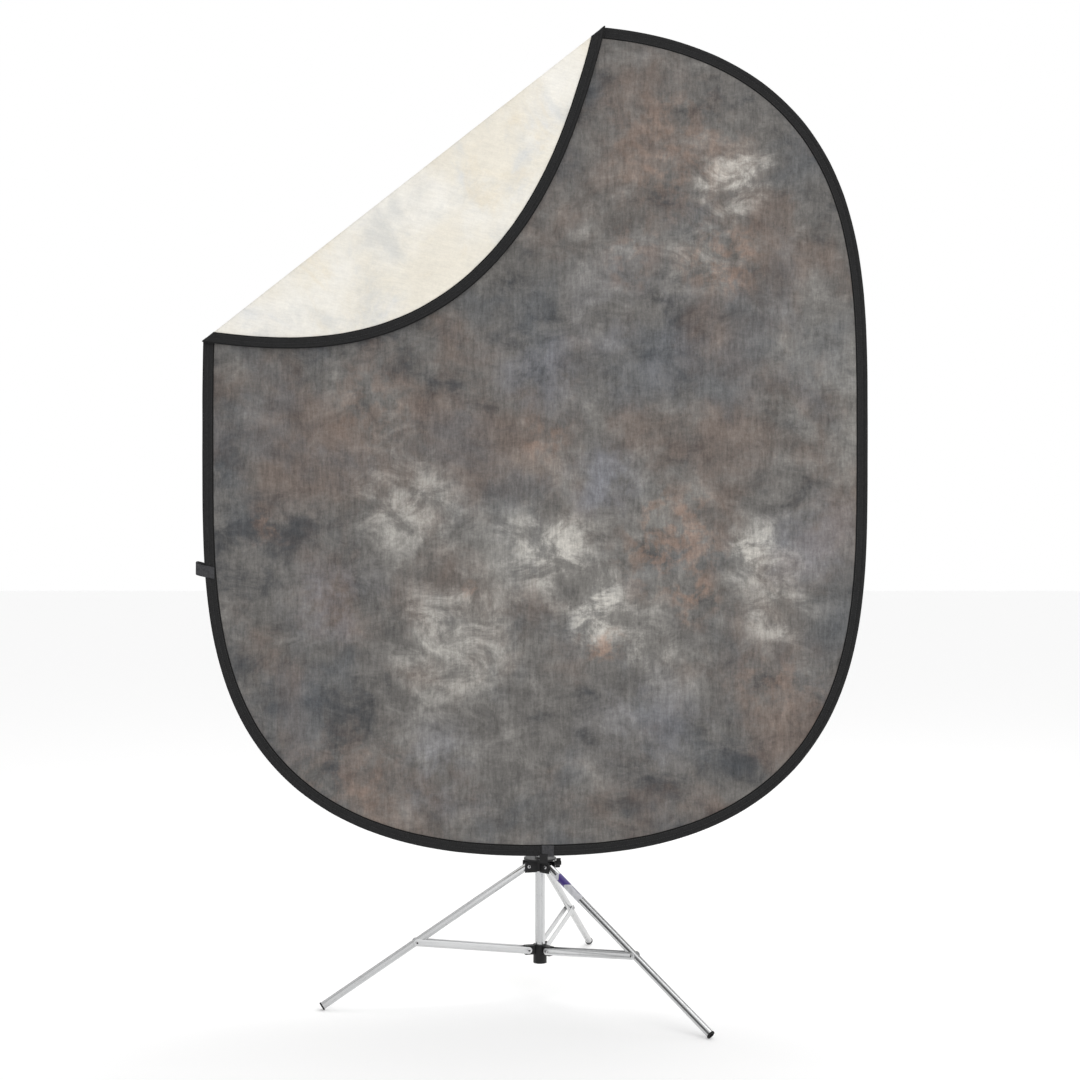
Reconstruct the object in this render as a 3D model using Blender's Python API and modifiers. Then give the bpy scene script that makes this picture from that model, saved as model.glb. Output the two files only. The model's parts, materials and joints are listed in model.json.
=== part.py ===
import math

import bmesh
import bpy
from mathutils import Matrix, Vector

# Panel
PANEL_WIDTH = 1.464
PANEL_HEIGHT = 1.829
ROUND_WIDE = 2.37
ROUND_TALL = 3.45
RIM_STEPS = 96
PANEL_FORWARD = 0.045
PANEL_SHIFT = -0.011
PANEL_ABOVE_PIVOT = 0.028517
BINDING_WIDTH = 0.025
BINDING_DEPTH = 0.010
FLANGE_DEPTH = 0.005
TAPE_WALL = 0.0008
TAPE_ROUND = 0.0015
POCKET_FLAT = 0.0065
POCKET_END = 0.011
HOOP_WIDE = 0.006
HOOP_THICK = 0.0015
HOOP_INSET = 0.004
FABRIC_THICK = 0.0009
FABRIC_GAP = 0.0008
FABRIC_TUCK = 0.012

# Folded corner
FOLD_ANGLE = 38.07
FOLD_DISTANCE = 0.6194
FOLD_GAP = 0.0005
CREASE_GAP = 0.0008
FLAP_FLATTEN = 0.87
FERRULE_SIZE = (0.0035, 0.008, 0.040)
FERRULE_ANGLE = 101.0

# Webbing loops
WEB_THICK = 0.0012
SIDE_LOOP_WIDTH = 0.022
SIDE_LOOP_REACH = 0.0185
SIDE_LOOP_RISE = -0.286
LOOP_SHARE = 0.7
BOTTOM_LOOP_WIDTH = 0.027
BOTTOM_LOOP_SHIFT = 0.017

# Stand
CLEAR = 0.0003
TUBE_WALL = 0.0012
COLUMN_R = 0.011
COLUMN_Z = (0.075, 0.775)
SECTION_2_Z = (0.700, 1.380)
SECTION_3_LOW = 1.305
LEG_R = 0.008
LEG_LENGTH = 0.538
LEG_SPLAY = 58.63
LEG_HEADINGS = (-74.6, 45.4, 165.4)
PIVOT_R = 0.028
LEG_TOP = 0.008
FOOT_R = 0.0093
FOOT_FLANGE = 0.003
FOOT_PLUG = 0.019
FOOT_HOLE_R = 0.0042
FOOT_CHAMFER = 0.001
BRACE_SPAN = 0.5484
BRACE_PIVOT_Z = 0.101
STRIP_WIDE = 0.015
STRIP_THICK = 0.0016
TONGUE_HALF = 0.008
CHEEK_THICK = 0.003
RIVET_R = 0.002
RIVET_HEAD_R = 0.004
RIVET_HEAD = 0.0018
RIVET_HOLE_R = 0.0023
TONGUE_SPAN = (COLUMN_R + 0.002, PIVOT_R + 0.008)
TONGUE_RISE = 0.010
CHEEK_ROOT = COLUMN_R - 0.001
CHEEK_REACH = 0.009
CHEEK_RISE = (-0.011, 0.0135)
EDGE_BEVEL = 0.001
COLLAR_R = COLUMN_R + 0.0035
COLLAR_DROP = 0.0116
COLLAR_RISE = 0.0129
FLANGE_R = PIVOT_R + 0.008
FLANGE_THICK = 0.004
SADDLE_HALF = 0.009
SADDLE_SHIFT = 0.008
SADDLE_LIP = 0.005
SADDLE_WALL = 0.0025
SADDLE_STEP = 0.0006
SADDLE_ARM_HALF = 0.008
SADDLE_ARM_LAP = 0.004
SPIDER_R = COLUMN_R + 0.004
SPIDER_Z = (0.071, 0.112)
SPIDER_FLOOR = 0.0037
LABEL_SPAN = (0.032, 0.115)
LABEL_THICK = 0.0002

# Knobs and locking collars
KNOB_HEADING = 105.0
KNOB_RISE = 0.003
KNOB_GAP = 0.001
SCREW_R = 0.0025
SCREW_HOLE_R = SCREW_R + CLEAR
SCREW_BITE = 0.009
BOSS_R = 0.0065
BOSS_ROOT = 0.001
BOSS_REACH = 0.010
STAR_R = 0.0145
STAR_LOBES = 5
STAR_DIP = 0.0015
STAR_THICK = 0.009
STAR_RISE = 0.008
STAR_NECK_R = 0.008
STAR_NECK = 0.006
LOCK_DROP = 0.030
LOCK_RISE = 0.016
LOCK_WALL = 0.0045
LOCK_CHAMFER = 0.0015
LOCK_SCREW_RISE = 0.008
LEG_BOSS_R = 0.006
LEG_BOSS_REACH = 0.014
LEG_KNOB_SEAT = 0.0195
LEG_KNOB_R = 0.0055
LEG_KNOB_LENGTH = 0.014
WING_TURN = 20.0
WING_REACH = 0.0115
WING_HALF = 0.002
WING_SPAN = (0.003, 0.013)

# Rest head and stud
HEAD_BELOW_CREASE = 0.0639
HEAD_BELOW_END = 0.023
PAD_R = 0.0225
PAD_THICK = 0.0015
PAD_INSET = 0.0015
HEAD_PLATE = 0.004
HEAD_ARM_R = 0.009
HEAD_HALF = 0.017
STUD_LENGTH = 0.035
STUD_CHAMFER = 0.001
GROOVE_DEPTH = 0.002
GROOVE_SPAN = (0.010, 0.024)
PLUG_LENGTH = 0.025

SPARE = 0.01
CLOSED_SLACK = 0.001

LEG_TILT = math.radians(LEG_SPLAY)
LEG_PIVOT_Z = (LEG_LENGTH - FOOT_CHAMFER) * math.cos(LEG_TILT) + FOOT_R * math.sin(LEG_TILT)
PANEL_BOTTOM = LEG_PIVOT_Z + PANEL_ABOVE_PIVOT
LEG_MID = LEG_LENGTH * BRACE_SPAN
MID_R = PIVOT_R + LEG_MID * math.sin(LEG_TILT)
MID_Z = LEG_PIVOT_Z - LEG_MID * math.cos(LEG_TILT)
BRACE_LENGTH = math.hypot(MID_R - PIVOT_R, MID_Z - BRACE_PIVOT_Z)
BRACE_TILT = math.atan2(MID_Z - BRACE_PIVOT_Z, MID_R - PIVOT_R)
SECTION_2_R = COLUMN_R - TUBE_WALL - CLEAR
SECTION_3_R = SECTION_2_R - TUBE_WALL - CLEAR
HALF_W = PANEL_WIDTH / 2
HALF_H = PANEL_HEIGHT / 2
STRIP_IN = TONGUE_HALF + 0.0004


def heading(degrees):
    turn = math.radians(degrees)
    return Vector((math.sin(turn), -math.cos(turn), 0))


HEADINGS = [heading(h) for h in LEG_HEADINGS]
FOOT_REACH = PIVOT_R + LEG_LENGTH * math.sin(LEG_TILT)
FEET_Y = [h.y * FOOT_REACH for h in HEADINGS]
LEFT = PANEL_SHIFT - HALF_W - SIDE_LOOP_REACH * LOOP_SHARE
RIGHT = PANEL_SHIFT + HALF_W
AXIS = Vector((-(LEFT + RIGHT) / 2, -(max(FEET_Y) + min(FEET_Y)) / 2, 0))
PANEL_CENTRE = AXIS + Vector((PANEL_SHIFT, -PANEL_FORWARD, PANEL_BOTTOM + HALF_H))
FOLD_DIR = Vector((math.cos(math.radians(FOLD_ANGLE)), 0, math.sin(math.radians(FOLD_ANGLE))))
FOLD_OUT = Vector((-FOLD_DIR.z, 0, FOLD_DIR.x))
FOLD_POINT = PANEL_CENTRE + FOLD_OUT * FOLD_DISTANCE
FOLD_AXIS = FOLD_POINT - Vector((0, BINDING_DEPTH / 2 + FOLD_GAP / 2, 0))
CREASE_Z = FOLD_POINT.z + (AXIS.x - FOLD_POINT.x) * math.tan(math.radians(FOLD_ANGLE))
HEAD_Z = CREASE_Z - HEAD_BELOW_CREASE
SECTION_3_Z = (SECTION_3_LOW, HEAD_Z + HEAD_BELOW_END)
STUD_TOP = SECTION_3_Z[1] + STUD_LENGTH
UP = Vector((0, 0, 1))

for old in list(bpy.data.objects):
    bpy.data.objects.remove(old, do_unlink=True)
scene = bpy.context.scene
scene.unit_settings.system = "METRIC"
home = bpy.data.collections.new("folding_backdrop_on_stand")
scene.collection.children.link(home)

PALETTE = {
    "binding_black": ((0.02, 0.02, 0.022), 0.85, 0.0),
    "webbing": ((0.05, 0.05, 0.055), 0.9, 0.0),
    "muslin_grey": ((0.27, 0.25, 0.235), 0.95, 0.0),
    "muslin_cream": ((0.74, 0.73, 0.68), 0.95, 0.0),
    "hoop_steel": ((0.45, 0.45, 0.46), 0.4, 1.0),
    "tube_silver": ((0.72, 0.73, 0.75), 0.3, 1.0),
    "rivet_steel": ((0.66, 0.66, 0.67), 0.3, 1.0),
    "plastic_black": ((0.02, 0.02, 0.022), 0.5, 0.0),
    "rubber_black": ((0.015, 0.015, 0.015), 0.8, 0.0),
    "label_paper": ((0.62, 0.66, 0.76), 0.5, 0.0),
    "pad_loop": ((0.03, 0.03, 0.03), 1.0, 0.0),
}
paints = {}
for slot, (colour, rough, metal) in PALETTE.items():
    paint = bpy.data.materials.new(slot)
    paint.use_nodes = True
    shader = paint.node_tree.nodes["Principled BSDF"]
    shader.inputs["Base Color"].default_value = (*colour, 1)
    shader.inputs["Roughness"].default_value = rough
    shader.inputs["Metallic"].default_value = metal
    paints[slot] = paint
made = {}


def frame(pos, along, side):
    z = Vector(along).normalized()
    x = Vector(side)
    x = (x - z * x.dot(z)).normalized()
    y = z.cross(x)
    turn = Matrix((x, y, z)).transposed().to_4x4()
    return Matrix.Translation(pos) @ turn


def add(name, mesh, slot, where=None):
    """Puts a mesh in the scene in world coordinates. A name of None makes a helper solid."""
    if where is not None:
        mesh.transform(where)
    obj = bpy.data.objects.new(name or "helper", mesh)
    home.objects.link(obj)
    if name:
        mesh.materials.clear()
        mesh.materials.append(paints[slot])
        made[name] = obj
    return obj


def settled(obj, merge=1e-6):
    """The evaluated mesh of an object, welded and turned outward. The object goes."""
    graph = bpy.context.evaluated_depsgraph_get()
    mesh = bpy.data.meshes.new_from_object(obj.evaluated_get(graph))
    mesh.transform(obj.matrix_world)
    bm = bmesh.new()
    bm.from_mesh(mesh)
    bmesh.ops.remove_doubles(bm, verts=bm.verts, dist=merge)
    bmesh.ops.recalc_face_normals(bm, faces=bm.faces)
    bm.to_mesh(mesh)
    bm.free()
    bpy.data.objects.remove(obj, do_unlink=True)
    return mesh


def lathe(name, profile, where, slot=None, steps=32, ring=False):
    """Spins (radius, height) points about Z. They run down the outer side."""
    mesh = bpy.data.meshes.new(name or "helper")
    points = [(r, 0, z) for r, z in profile]
    edges = [(i, i + 1) for i in range(len(points) - 1)]
    if ring:
        edges.append((len(points) - 1, 0))
    mesh.from_pydata(points, edges, [])
    obj = add(None, mesh, None)
    spin = obj.modifiers.new("spin", "SCREW")
    spin.steps = spin.render_steps = steps
    spin.use_merge_vertices = True
    spin.merge_threshold = 1e-5
    return add(name, settled(obj, 1e-5), slot, where)


def rod(name, radius, low, high, where, slot=None, steps=24):
    return lathe(name, [(0, high), (radius, high), (radius, low), (0, low)], where, slot, steps)


def tube(name, outer, inner, low, high, where, slot=None, steps=32):
    loop = [(inner, high), (outer, high), (outer, low), (inner, low)]
    return lathe(name, loop, where, slot, steps, ring=True)


def box(name, low, high, where, slot=None, bevel=0.0):
    mesh = bpy.data.meshes.new(name or "helper")
    bm = bmesh.new()
    bmesh.ops.create_cube(bm, size=1)
    size = Vector(high) - Vector(low)
    middle = (Vector(high) + Vector(low)) / 2
    bmesh.ops.transform(bm, matrix=Matrix.Translation(middle) @ Matrix.Diagonal((*size, 1)), verts=bm.verts)
    if bevel:
        bmesh.ops.bevel(bm, geom=bm.edges, offset=bevel, segments=2, profile=0.5, affect="EDGES")
    bm.to_mesh(mesh)
    bm.free()
    return add(name, mesh, slot, where)


def flat_curve(loops):
    curve = bpy.data.curves.new("outline", "CURVE")
    curve.dimensions = "2D"
    curve.fill_mode = "BOTH"
    for loop in loops:
        line = curve.splines.new("POLY")
        line.points.add(len(loop) - 1)
        for point, (x, y) in zip(line.points, loop):
            point.co = (x, y, 0, 1)
        line.use_cyclic_u = True
    return curve


def plate(name, loops, thick, where, slot=None):
    """A flat sheet cut to the first outline, with the others as holes."""
    curve = flat_curve(loops)
    curve.extrude = thick / 2
    obj = bpy.data.objects.new("outline", curve)
    home.objects.link(obj)
    return add(name, settled(obj, 1e-6), slot, where)


def circle(x, y, radius, steps=16):
    turns = [2 * math.pi * i / steps for i in range(steps)]
    return [(x + radius * math.cos(a), y + radius * math.sin(a)) for a in turns]


def combine(target, others, operation):
    """Joins or cuts with each helper in turn, worked near the origin so that points stay exact."""
    away = Matrix.Translation(-target.data.vertices[0].co)
    for obj in (target, *others):
        obj.data.transform(away)
    for other in others:
        step = target.modifiers.new("combine", "BOOLEAN")
        step.operation = operation
        step.solver = "EXACT"
        step.object = other
        graph = bpy.context.evaluated_depsgraph_get()
        mesh = bpy.data.meshes.new_from_object(target.evaluated_get(graph))
        bm = bmesh.new()
        bm.from_mesh(mesh)
        bmesh.ops.remove_doubles(bm, verts=bm.verts, dist=2e-6)
        bmesh.ops.dissolve_degenerate(bm, edges=bm.edges, dist=1e-6)
        bm.to_mesh(mesh)
        bm.free()
        target.modifiers.clear()
        target.data = mesh
        bpy.data.objects.remove(other, do_unlink=True)
    target.data.transform(away.inverted())
    return target


def weld_to(target, *others):
    return combine(target, others, "UNION")


def cut_from(target, *others):
    return combine(target, others, "DIFFERENCE")


def hang(names, pivot_name, pos):
    """Parents the named pieces to an empty on their joint's axis."""
    pivot = bpy.data.objects.new(pivot_name, None)
    pivot.empty_display_size = 0.02
    pivot.location = pos
    home.objects.link(pivot)
    for name in names:
        piece = made[name]
        piece.parent = pivot
        piece.matrix_parent_inverse = Matrix.Translation(-Vector(pos))


# Rim line

def rim_line(steps, flatten=1.0):
    """Even points on the rim, from the panel's centre, each with its outward direction."""
    fine = []
    for i in range(steps * 40):
        a = 2 * math.pi * i / (steps * 40)
        c, s = math.cos(a), math.sin(a)
        x = HALF_W * math.copysign(abs(c) ** (2 / ROUND_WIDE), c)
        z = HALF_H * math.copysign(abs(s) ** (2 / ROUND_TALL), s)
        if flatten != 1.0:
            beyond = x * FOLD_OUT.x + z * FOLD_OUT.z - FOLD_DISTANCE
            x += FOLD_OUT.x * beyond * (flatten - 1)
            z += FOLD_OUT.z * beyond * (flatten - 1)
        fine.append((x, z))
    lengths = [0.0]
    for (x0, z0), (x1, z1) in zip(fine, fine[1:] + fine[:1]):
        lengths.append(lengths[-1] + math.hypot(x1 - x0, z1 - z0))
    line, at = [], 0
    for i in range(steps):
        want = lengths[-1] * i / steps
        while lengths[at + 1] < want:
            at += 1
        line.append(fine[at])
    return line


def inset(line, depth):
    out = []
    for i, (x, z) in enumerate(line):
        x0, z0 = line[i - 1]
        x1, z1 = line[(i + 1) % len(line)]
        run = math.hypot(x1 - x0, z1 - z0)
        out.append((x - depth * (z1 - z0) / run, z + depth * (x1 - x0) / run))
    return out


def sweep(name, profile, line, slot=None):
    """Carries a (depth inward, offset along Y) section round a closed line in the panel's plane."""
    shape = flat_curve([profile])
    shape.fill_mode = "NONE"
    shape_obj = bpy.data.objects.new("section", shape)
    home.objects.link(shape_obj)
    curve = flat_curve([line])
    curve.fill_mode = "NONE"
    curve.bevel_mode = "OBJECT"
    curve.bevel_object = shape_obj
    obj = bpy.data.objects.new("path", curve)
    home.objects.link(obj)
    mesh = settled(obj, 1e-6)
    bpy.data.objects.remove(shape_obj, do_unlink=True)
    return add(name, mesh, slot, PANEL_PLANE)


PANEL_PLANE = Matrix.Translation(PANEL_CENTRE) @ Matrix.Rotation(math.pi / 2, 4, "X")
whole_line = rim_line(RIM_STEPS)
flap_line = rim_line(RIM_STEPS, FLAP_FLATTEN)
BD, FD, TW = BINDING_DEPTH / 2, FLANGE_DEPTH / 2, TAPE_WALL
half_outer = [(BINDING_WIDTH, FD), (POCKET_END, FD), (POCKET_FLAT, BD), (TAPE_ROUND, BD),
              (0, BD - TAPE_ROUND)]
half_inner = [(BINDING_WIDTH, FD - TW), (POCKET_END + 0.0002, FD - TW), (POCKET_FLAT + 0.0001, BD - TW),
              (TAPE_ROUND + TW / 2, BD - TW), (TW, BD - TAPE_ROUND - TW / 2)]
TAPE = (
    half_outer
    + [(d, -w) for d, w in reversed(half_outer)]
    + [(d, -w) for d, w in half_inner]
    + [(d, w) for d, w in reversed(half_inner)]
)
HOOP = [
    (HOOP_INSET - HOOP_THICK / 2, -HOOP_WIDE / 2),
    (HOOP_INSET + HOOP_THICK / 2, -HOOP_WIDE / 2),
    (HOOP_INSET + HOOP_THICK / 2, HOOP_WIDE / 2),
    (HOOP_INSET - HOOP_THICK / 2, HOOP_WIDE / 2),
]


def beyond_fold(keep_panel):
    """A block that takes away one side of the crease."""
    big = 2 * PANEL_HEIGHT
    edge = CREASE_GAP / 2
    low, high = (-big, -big / 2, -edge), (big, big / 2, big)
    if not keep_panel:
        low, high = (-big, -big / 2, -big), (big, big / 2, edge)
    return box(None, low, high, frame(FOLD_POINT, FOLD_OUT, FOLD_DIR))


def sheet(name, line, low, high, slot):
    where = PANEL_PLANE @ Matrix.Translation((0, 0, -(low + high) / 2))
    return plate(name, [inset(line, FABRIC_TUCK)], high - low, where, slot)


FRONT = (-FABRIC_GAP / 2 - FABRIC_THICK, -FABRIC_GAP / 2)
BACK = (FABRIC_GAP / 2, FABRIC_GAP / 2 + FABRIC_THICK)
cut_from(sweep("binding", TAPE, whole_line, "binding_black"), beyond_fold(True))
cut_from(sweep("spring_hoop", HOOP, whole_line, "hoop_steel"), beyond_fold(True))
cut_from(sheet("front_fabric", whole_line, *FRONT, "muslin_grey"), beyond_fold(True))
cut_from(sheet("back_fabric", whole_line, *BACK, "muslin_cream"), beyond_fold(True))
cut_from(sweep("flap_binding", TAPE, flap_line, "binding_black"), beyond_fold(False))
cut_from(sweep("flap_hoop", HOOP, flap_line, "hoop_steel"), beyond_fold(False))
cut_from(sheet("flap_front_fabric", flap_line, *FRONT, "muslin_grey"), beyond_fold(False))
cut_from(sheet("flap_back_fabric", flap_line, *BACK, "muslin_cream"), beyond_fold(False))

hoop_line = inset(flap_line, HOOP_INSET)
spot = min(range(RIM_STEPS), key=lambda i: abs(math.degrees(math.atan2(hoop_line[i][1], hoop_line[i][0]))
                                               - FERRULE_ANGLE))
(fx0, fz0), (fx1, fz1) = hoop_line[spot], hoop_line[spot + 1]
along = Vector((fx1 - fx0, 0, fz1 - fz0)).normalized()
ferrule_at = PANEL_CENTRE + Vector(((fx0 + fx1) / 2, 0, (fz0 + fz1) / 2))
ferrule_frame = frame(ferrule_at, along, (-along.z, 0, along.x))
fw, fd, fl = (s / 2 for s in FERRULE_SIZE)
hw, hd = HOOP_THICK / 2 + CLEAR, HOOP_WIDE / 2 + CLEAR
cut_from(
    box("hoop_ferrule", (-fw, -fd, -fl), (fw, fd, fl), ferrule_frame, "rivet_steel"),
    box(None, (-hw, -hd, -fl * 2), (hw, hd, fl * 2), ferrule_frame),
)
FLAP = ("flap_binding", "flap_hoop", "flap_front_fabric", "flap_back_fabric", "hoop_ferrule")
fold_over = (
    Matrix.Translation(FOLD_AXIS) @ Matrix.Rotation(math.pi, 4, FOLD_DIR) @ Matrix.Translation(-FOLD_AXIS)
)
for name in FLAP:
    made[name].data.transform(fold_over)


# Webbing

def band(name, path, width, where, slot):
    """Webbing laid along (x, y) points in a frame's XY plane, its width along Z."""
    mesh = bpy.data.meshes.new(name)
    count = len(path)
    points = [(x, y, s * width / 2) for s in (-1, 1) for x, y in path]
    faces = [(i, i + 1, count + i + 1, count + i) for i in range(count - 1)]
    mesh.from_pydata(points, [], faces)
    obj = add(None, mesh, None)
    thick = obj.modifiers.new("thick", "SOLIDIFY")
    thick.thickness = WEB_THICK
    thick.offset = 0
    thick.use_even_offset = True
    return add(name, settled(obj, 1e-6), slot, where)


off = CLEAR + WEB_THICK / 2
flat_y, bulge_y = FD + off, BD + off
tail = [(BINDING_WIDTH - 0.001, flat_y), (0.0125, flat_y), (0.0075, bulge_y), (0.001, bulge_y)]
side_x = -HALF_W * (1 - abs(SIDE_LOOP_RISE / HALF_H) ** ROUND_TALL) ** (1 / ROUND_WIDE)
centre_out = SIDE_LOOP_REACH - bulge_y - WEB_THICK / 2
bight = [
    (-centre_out - bulge_y * math.sin(a), bulge_y * math.cos(a))
    for a in (math.pi * i / 10 for i in range(11))
]
side_path = tail + bight + [(d, -w) for d, w in reversed(tail)]
side_at = PANEL_CENTRE + Vector((side_x, 0, SIDE_LOOP_RISE))
band("side_loop", side_path, SIDE_LOOP_WIDTH, frame(side_at, UP, (1, 0, 0)), "webbing")
turn_y = BD - TAPE_ROUND + off * 0.4
bottom_path = tail + [(-off, turn_y), (-off, -turn_y)]
bottom_path += [(d, -w) for d, w in reversed(tail)]
bottom_at = AXIS + Vector((BOTTOM_LOOP_SHIFT, -PANEL_FORWARD, PANEL_BOTTOM))
band("bottom_loop", bottom_path, BOTTOM_LOOP_WIDTH, frame(bottom_at, (1, 0, 0), UP), "webbing")

# Column and telescoping sections
upright = frame(AXIS, UP, (1, 0, 0))
tube("column_tube", COLUMN_R, COLUMN_R - TUBE_WALL, *COLUMN_Z, upright, "tube_silver")
tube("second_section", SECTION_2_R, SECTION_2_R - TUBE_WALL, *SECTION_2_Z, upright, "tube_silver")
tube("third_section", SECTION_3_R, SECTION_3_R - TUBE_WALL, *SECTION_3_Z, upright, "tube_silver")
plug_r = SECTION_3_R - TUBE_WALL - CLEAR
stud_base = SECTION_3_Z[1] + CLEAR
groove_r = SECTION_3_R - GROOVE_DEPTH
groove_top, groove_low = STUD_TOP - GROOVE_SPAN[0], STUD_TOP - GROOVE_SPAN[1]
stud = [
    (0, STUD_TOP), (SECTION_3_R - STUD_CHAMFER, STUD_TOP), (SECTION_3_R, STUD_TOP - STUD_CHAMFER),
    (SECTION_3_R, groove_top), (groove_r, groove_top - GROOVE_DEPTH), (groove_r, groove_low + GROOVE_DEPTH),
    (SECTION_3_R, groove_low), (SECTION_3_R, stud_base), (plug_r, stud_base),
    (plug_r, stud_base - PLUG_LENGTH), (0, stud_base - PLUG_LENGTH),
]
lathe("top_stud", stud, upright, "rivet_steel")


def star(radius, lobes, depth, steps=60):
    turns = [2 * math.pi * i / steps for i in range(steps)]
    reach = [radius - depth + depth * math.cos(lobes * a) for a in turns]
    return [(r * math.cos(a), r * math.sin(a)) for r, a in zip(reach, turns)]


def lobed(name, outline, thick, where, slot):
    bm = bmesh.new()
    face = bm.faces.new([bm.verts.new((x, y, -thick / 2)) for x, y in outline])
    grown = bmesh.ops.extrude_face_region(bm, geom=[face])["geom"]
    bmesh.ops.translate(bm, vec=(0, 0, thick), verts=[v for v in grown if isinstance(v, bmesh.types.BMVert)])
    bmesh.ops.recalc_face_normals(bm, faces=bm.faces)
    mesh = bpy.data.meshes.new(name)
    bm.to_mesh(mesh)
    bm.free()
    return add(name, mesh, slot, where)


def star_knob(prefix, pos, along, tip, seat):
    """A lobed knob on its screw. Both are measured along the screw from the tube's axis."""
    where = frame(pos, along, UP)
    rod(prefix + "_screw", SCREW_R, tip, seat + SCREW_BITE, where, "rivet_steel", 16)
    head = where @ Matrix.Translation((0, 0, seat + STAR_RISE))
    knob = lobed(prefix, star(STAR_R, STAR_LOBES, STAR_DIP), STAR_THICK, head, "plastic_black")
    weld_to(knob, rod(None, STAR_NECK_R, seat, seat + STAR_NECK, where))
    cut_from(knob, rod(None, SCREW_HOLE_R, seat - SPARE, seat + SCREW_BITE + CLEAR, where, steps=16))


def lock_collar(name, lower_r, upper_r, top, prefix):
    """Clamps on the lower tube's end and pinches the upper tube with a screw from behind."""
    low, high, step = top - LOCK_DROP, top + LOCK_RISE, top + CLEAR
    outer = lower_r + LOCK_WALL
    loop = [(upper_r + CLEAR, high), (outer - LOCK_CHAMFER, high), (outer, high - LOCK_CHAMFER),
            (outer, low), (lower_r + CLEAR, low), (lower_r + CLEAR, step), (upper_r + CLEAR, step)]
    collar = lathe(name, loop, upright, "plastic_black", ring=True)
    screw_at = AXIS + UP * (top + LOCK_SCREW_RISE)
    back = Vector((0, 1, 0))
    where = frame(screw_at, back, UP)
    weld_to(collar, rod(None, BOSS_R, upper_r + CLEAR + BOSS_ROOT, outer + BOSS_REACH, where))
    cut_from(collar, rod(None, SCREW_HOLE_R, upper_r - 0.2 * SPARE, outer + 2 * SPARE, where, steps=16))
    star_knob(prefix, screw_at, back, upper_r + CLEAR, outer + BOSS_REACH + KNOB_GAP)


lock_collar("lock_collar_1", COLUMN_R, SECTION_2_R, COLUMN_Z[1], "lock_knob_1")
lock_collar("lock_collar_2", SECTION_2_R, SECTION_3_R, SECTION_2_Z[1], "lock_knob_2")

# Rest head
ring_r = SECTION_3_R + CLEAR
pad_face = PANEL_FORWARD - FABRIC_GAP / 2 - FABRIC_THICK - CLEAR
plate_face = pad_face - PAD_THICK - CLEAR
forward = frame(AXIS + UP * HEAD_Z, (0, -1, 0), UP)
head = rod("rest_head", PAD_R, plate_face - HEAD_PLATE, plate_face, forward, "plastic_black", 32)
weld_to(head, rod(None, HEAD_ARM_R, 0, plate_face - HEAD_PLATE / 2, forward))
weld_to(head, rod(None, ring_r + LOCK_WALL, HEAD_Z - HEAD_HALF, HEAD_Z + HEAD_HALF, upright, steps=32))
weld_to(head, rod(None, BOSS_R, -(ring_r + LOCK_WALL + BOSS_REACH), 0, forward))
cut_from(head, rod(None, ring_r, HEAD_Z - 3 * HEAD_HALF, HEAD_Z + 3 * HEAD_HALF, upright, steps=32))
cut_from(head, rod(None, SCREW_HOLE_R, -5 * SPARE, 0, forward, steps=16))
rod("grip_pad", PAD_R - PAD_INSET, pad_face - PAD_THICK, pad_face, forward, "pad_loop", 32)
star_knob("head_knob", AXIS + UP * HEAD_Z, (0, 1, 0), ring_r, ring_r + LOCK_WALL + BOSS_REACH + KNOB_GAP)

# Lower spider and leg collar
spider_floor = SPIDER_Z[0] + SPIDER_FLOOR
spider_loop = [
    (0, spider_floor), (COLUMN_R + CLEAR, spider_floor), (COLUMN_R + CLEAR, SPIDER_Z[1]),
    (SPIDER_R, SPIDER_Z[1]), (SPIDER_R, SPIDER_Z[0]), (0, SPIDER_Z[0]),
]
spider = lathe("lower_spider", spider_loop, upright, "plastic_black")
collar_low, flange_low = LEG_PIVOT_Z - COLLAR_DROP, LEG_PIVOT_Z + COLLAR_RISE
flange_high = flange_low + FLANGE_THICK
collar = rod("leg_collar", COLLAR_R, collar_low, flange_high, upright, "plastic_black", 32)
weld_to(collar, rod(None, FLANGE_R, flange_low, flange_high, upright, steps=40))
strip_floor = PANEL_BOTTOM - CLEAR * 2 - WEB_THICK
saddle_y = (-PANEL_FORWARD - bulge_y - WEB_THICK / 2 - CLEAR - SADDLE_WALL,
            -PANEL_FORWARD + bulge_y + WEB_THICK / 2 + CLEAR + SADDLE_WALL)
weld_to(
    collar,
    box(None, (SADDLE_SHIFT - SADDLE_HALF, saddle_y[0], flange_low + SADDLE_STEP),
        (SADDLE_SHIFT + SADDLE_HALF, saddle_y[1], PANEL_BOTTOM + SADDLE_LIP), upright),
    box(None, (SADDLE_SHIFT - SADDLE_ARM_HALF, saddle_y[1] - SADDLE_ARM_LAP, flange_low + 2 * SADDLE_STEP),
        (SADDLE_SHIFT + SADDLE_ARM_HALF, -SADDLE_ARM_LAP, flange_high - SADDLE_STEP), upright),
)
cheek_in, cheek_out = LEG_R + 0.0004, LEG_R + 0.0004 + CHEEK_THICK
for h in HEADINGS:
    side = UP.cross(h)
    tongue = frame(AXIS + UP * BRACE_PIVOT_Z, side, h)
    weld_to(spider, box(None, (TONGUE_SPAN[0], -TONGUE_RISE, -TONGUE_HALF),
                        (TONGUE_SPAN[1], TONGUE_RISE, TONGUE_HALF), tongue, bevel=EDGE_BEVEL))
    pivot = frame(AXIS + h * PIVOT_R + UP * LEG_PIVOT_Z, side, h)
    for s in (-1, 1):
        z = sorted((s * cheek_in, s * cheek_out))
        weld_to(collar, box(None, (CHEEK_ROOT - PIVOT_R, CHEEK_RISE[0], z[0]),
                            (CHEEK_REACH, CHEEK_RISE[1], z[1]), pivot))
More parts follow.
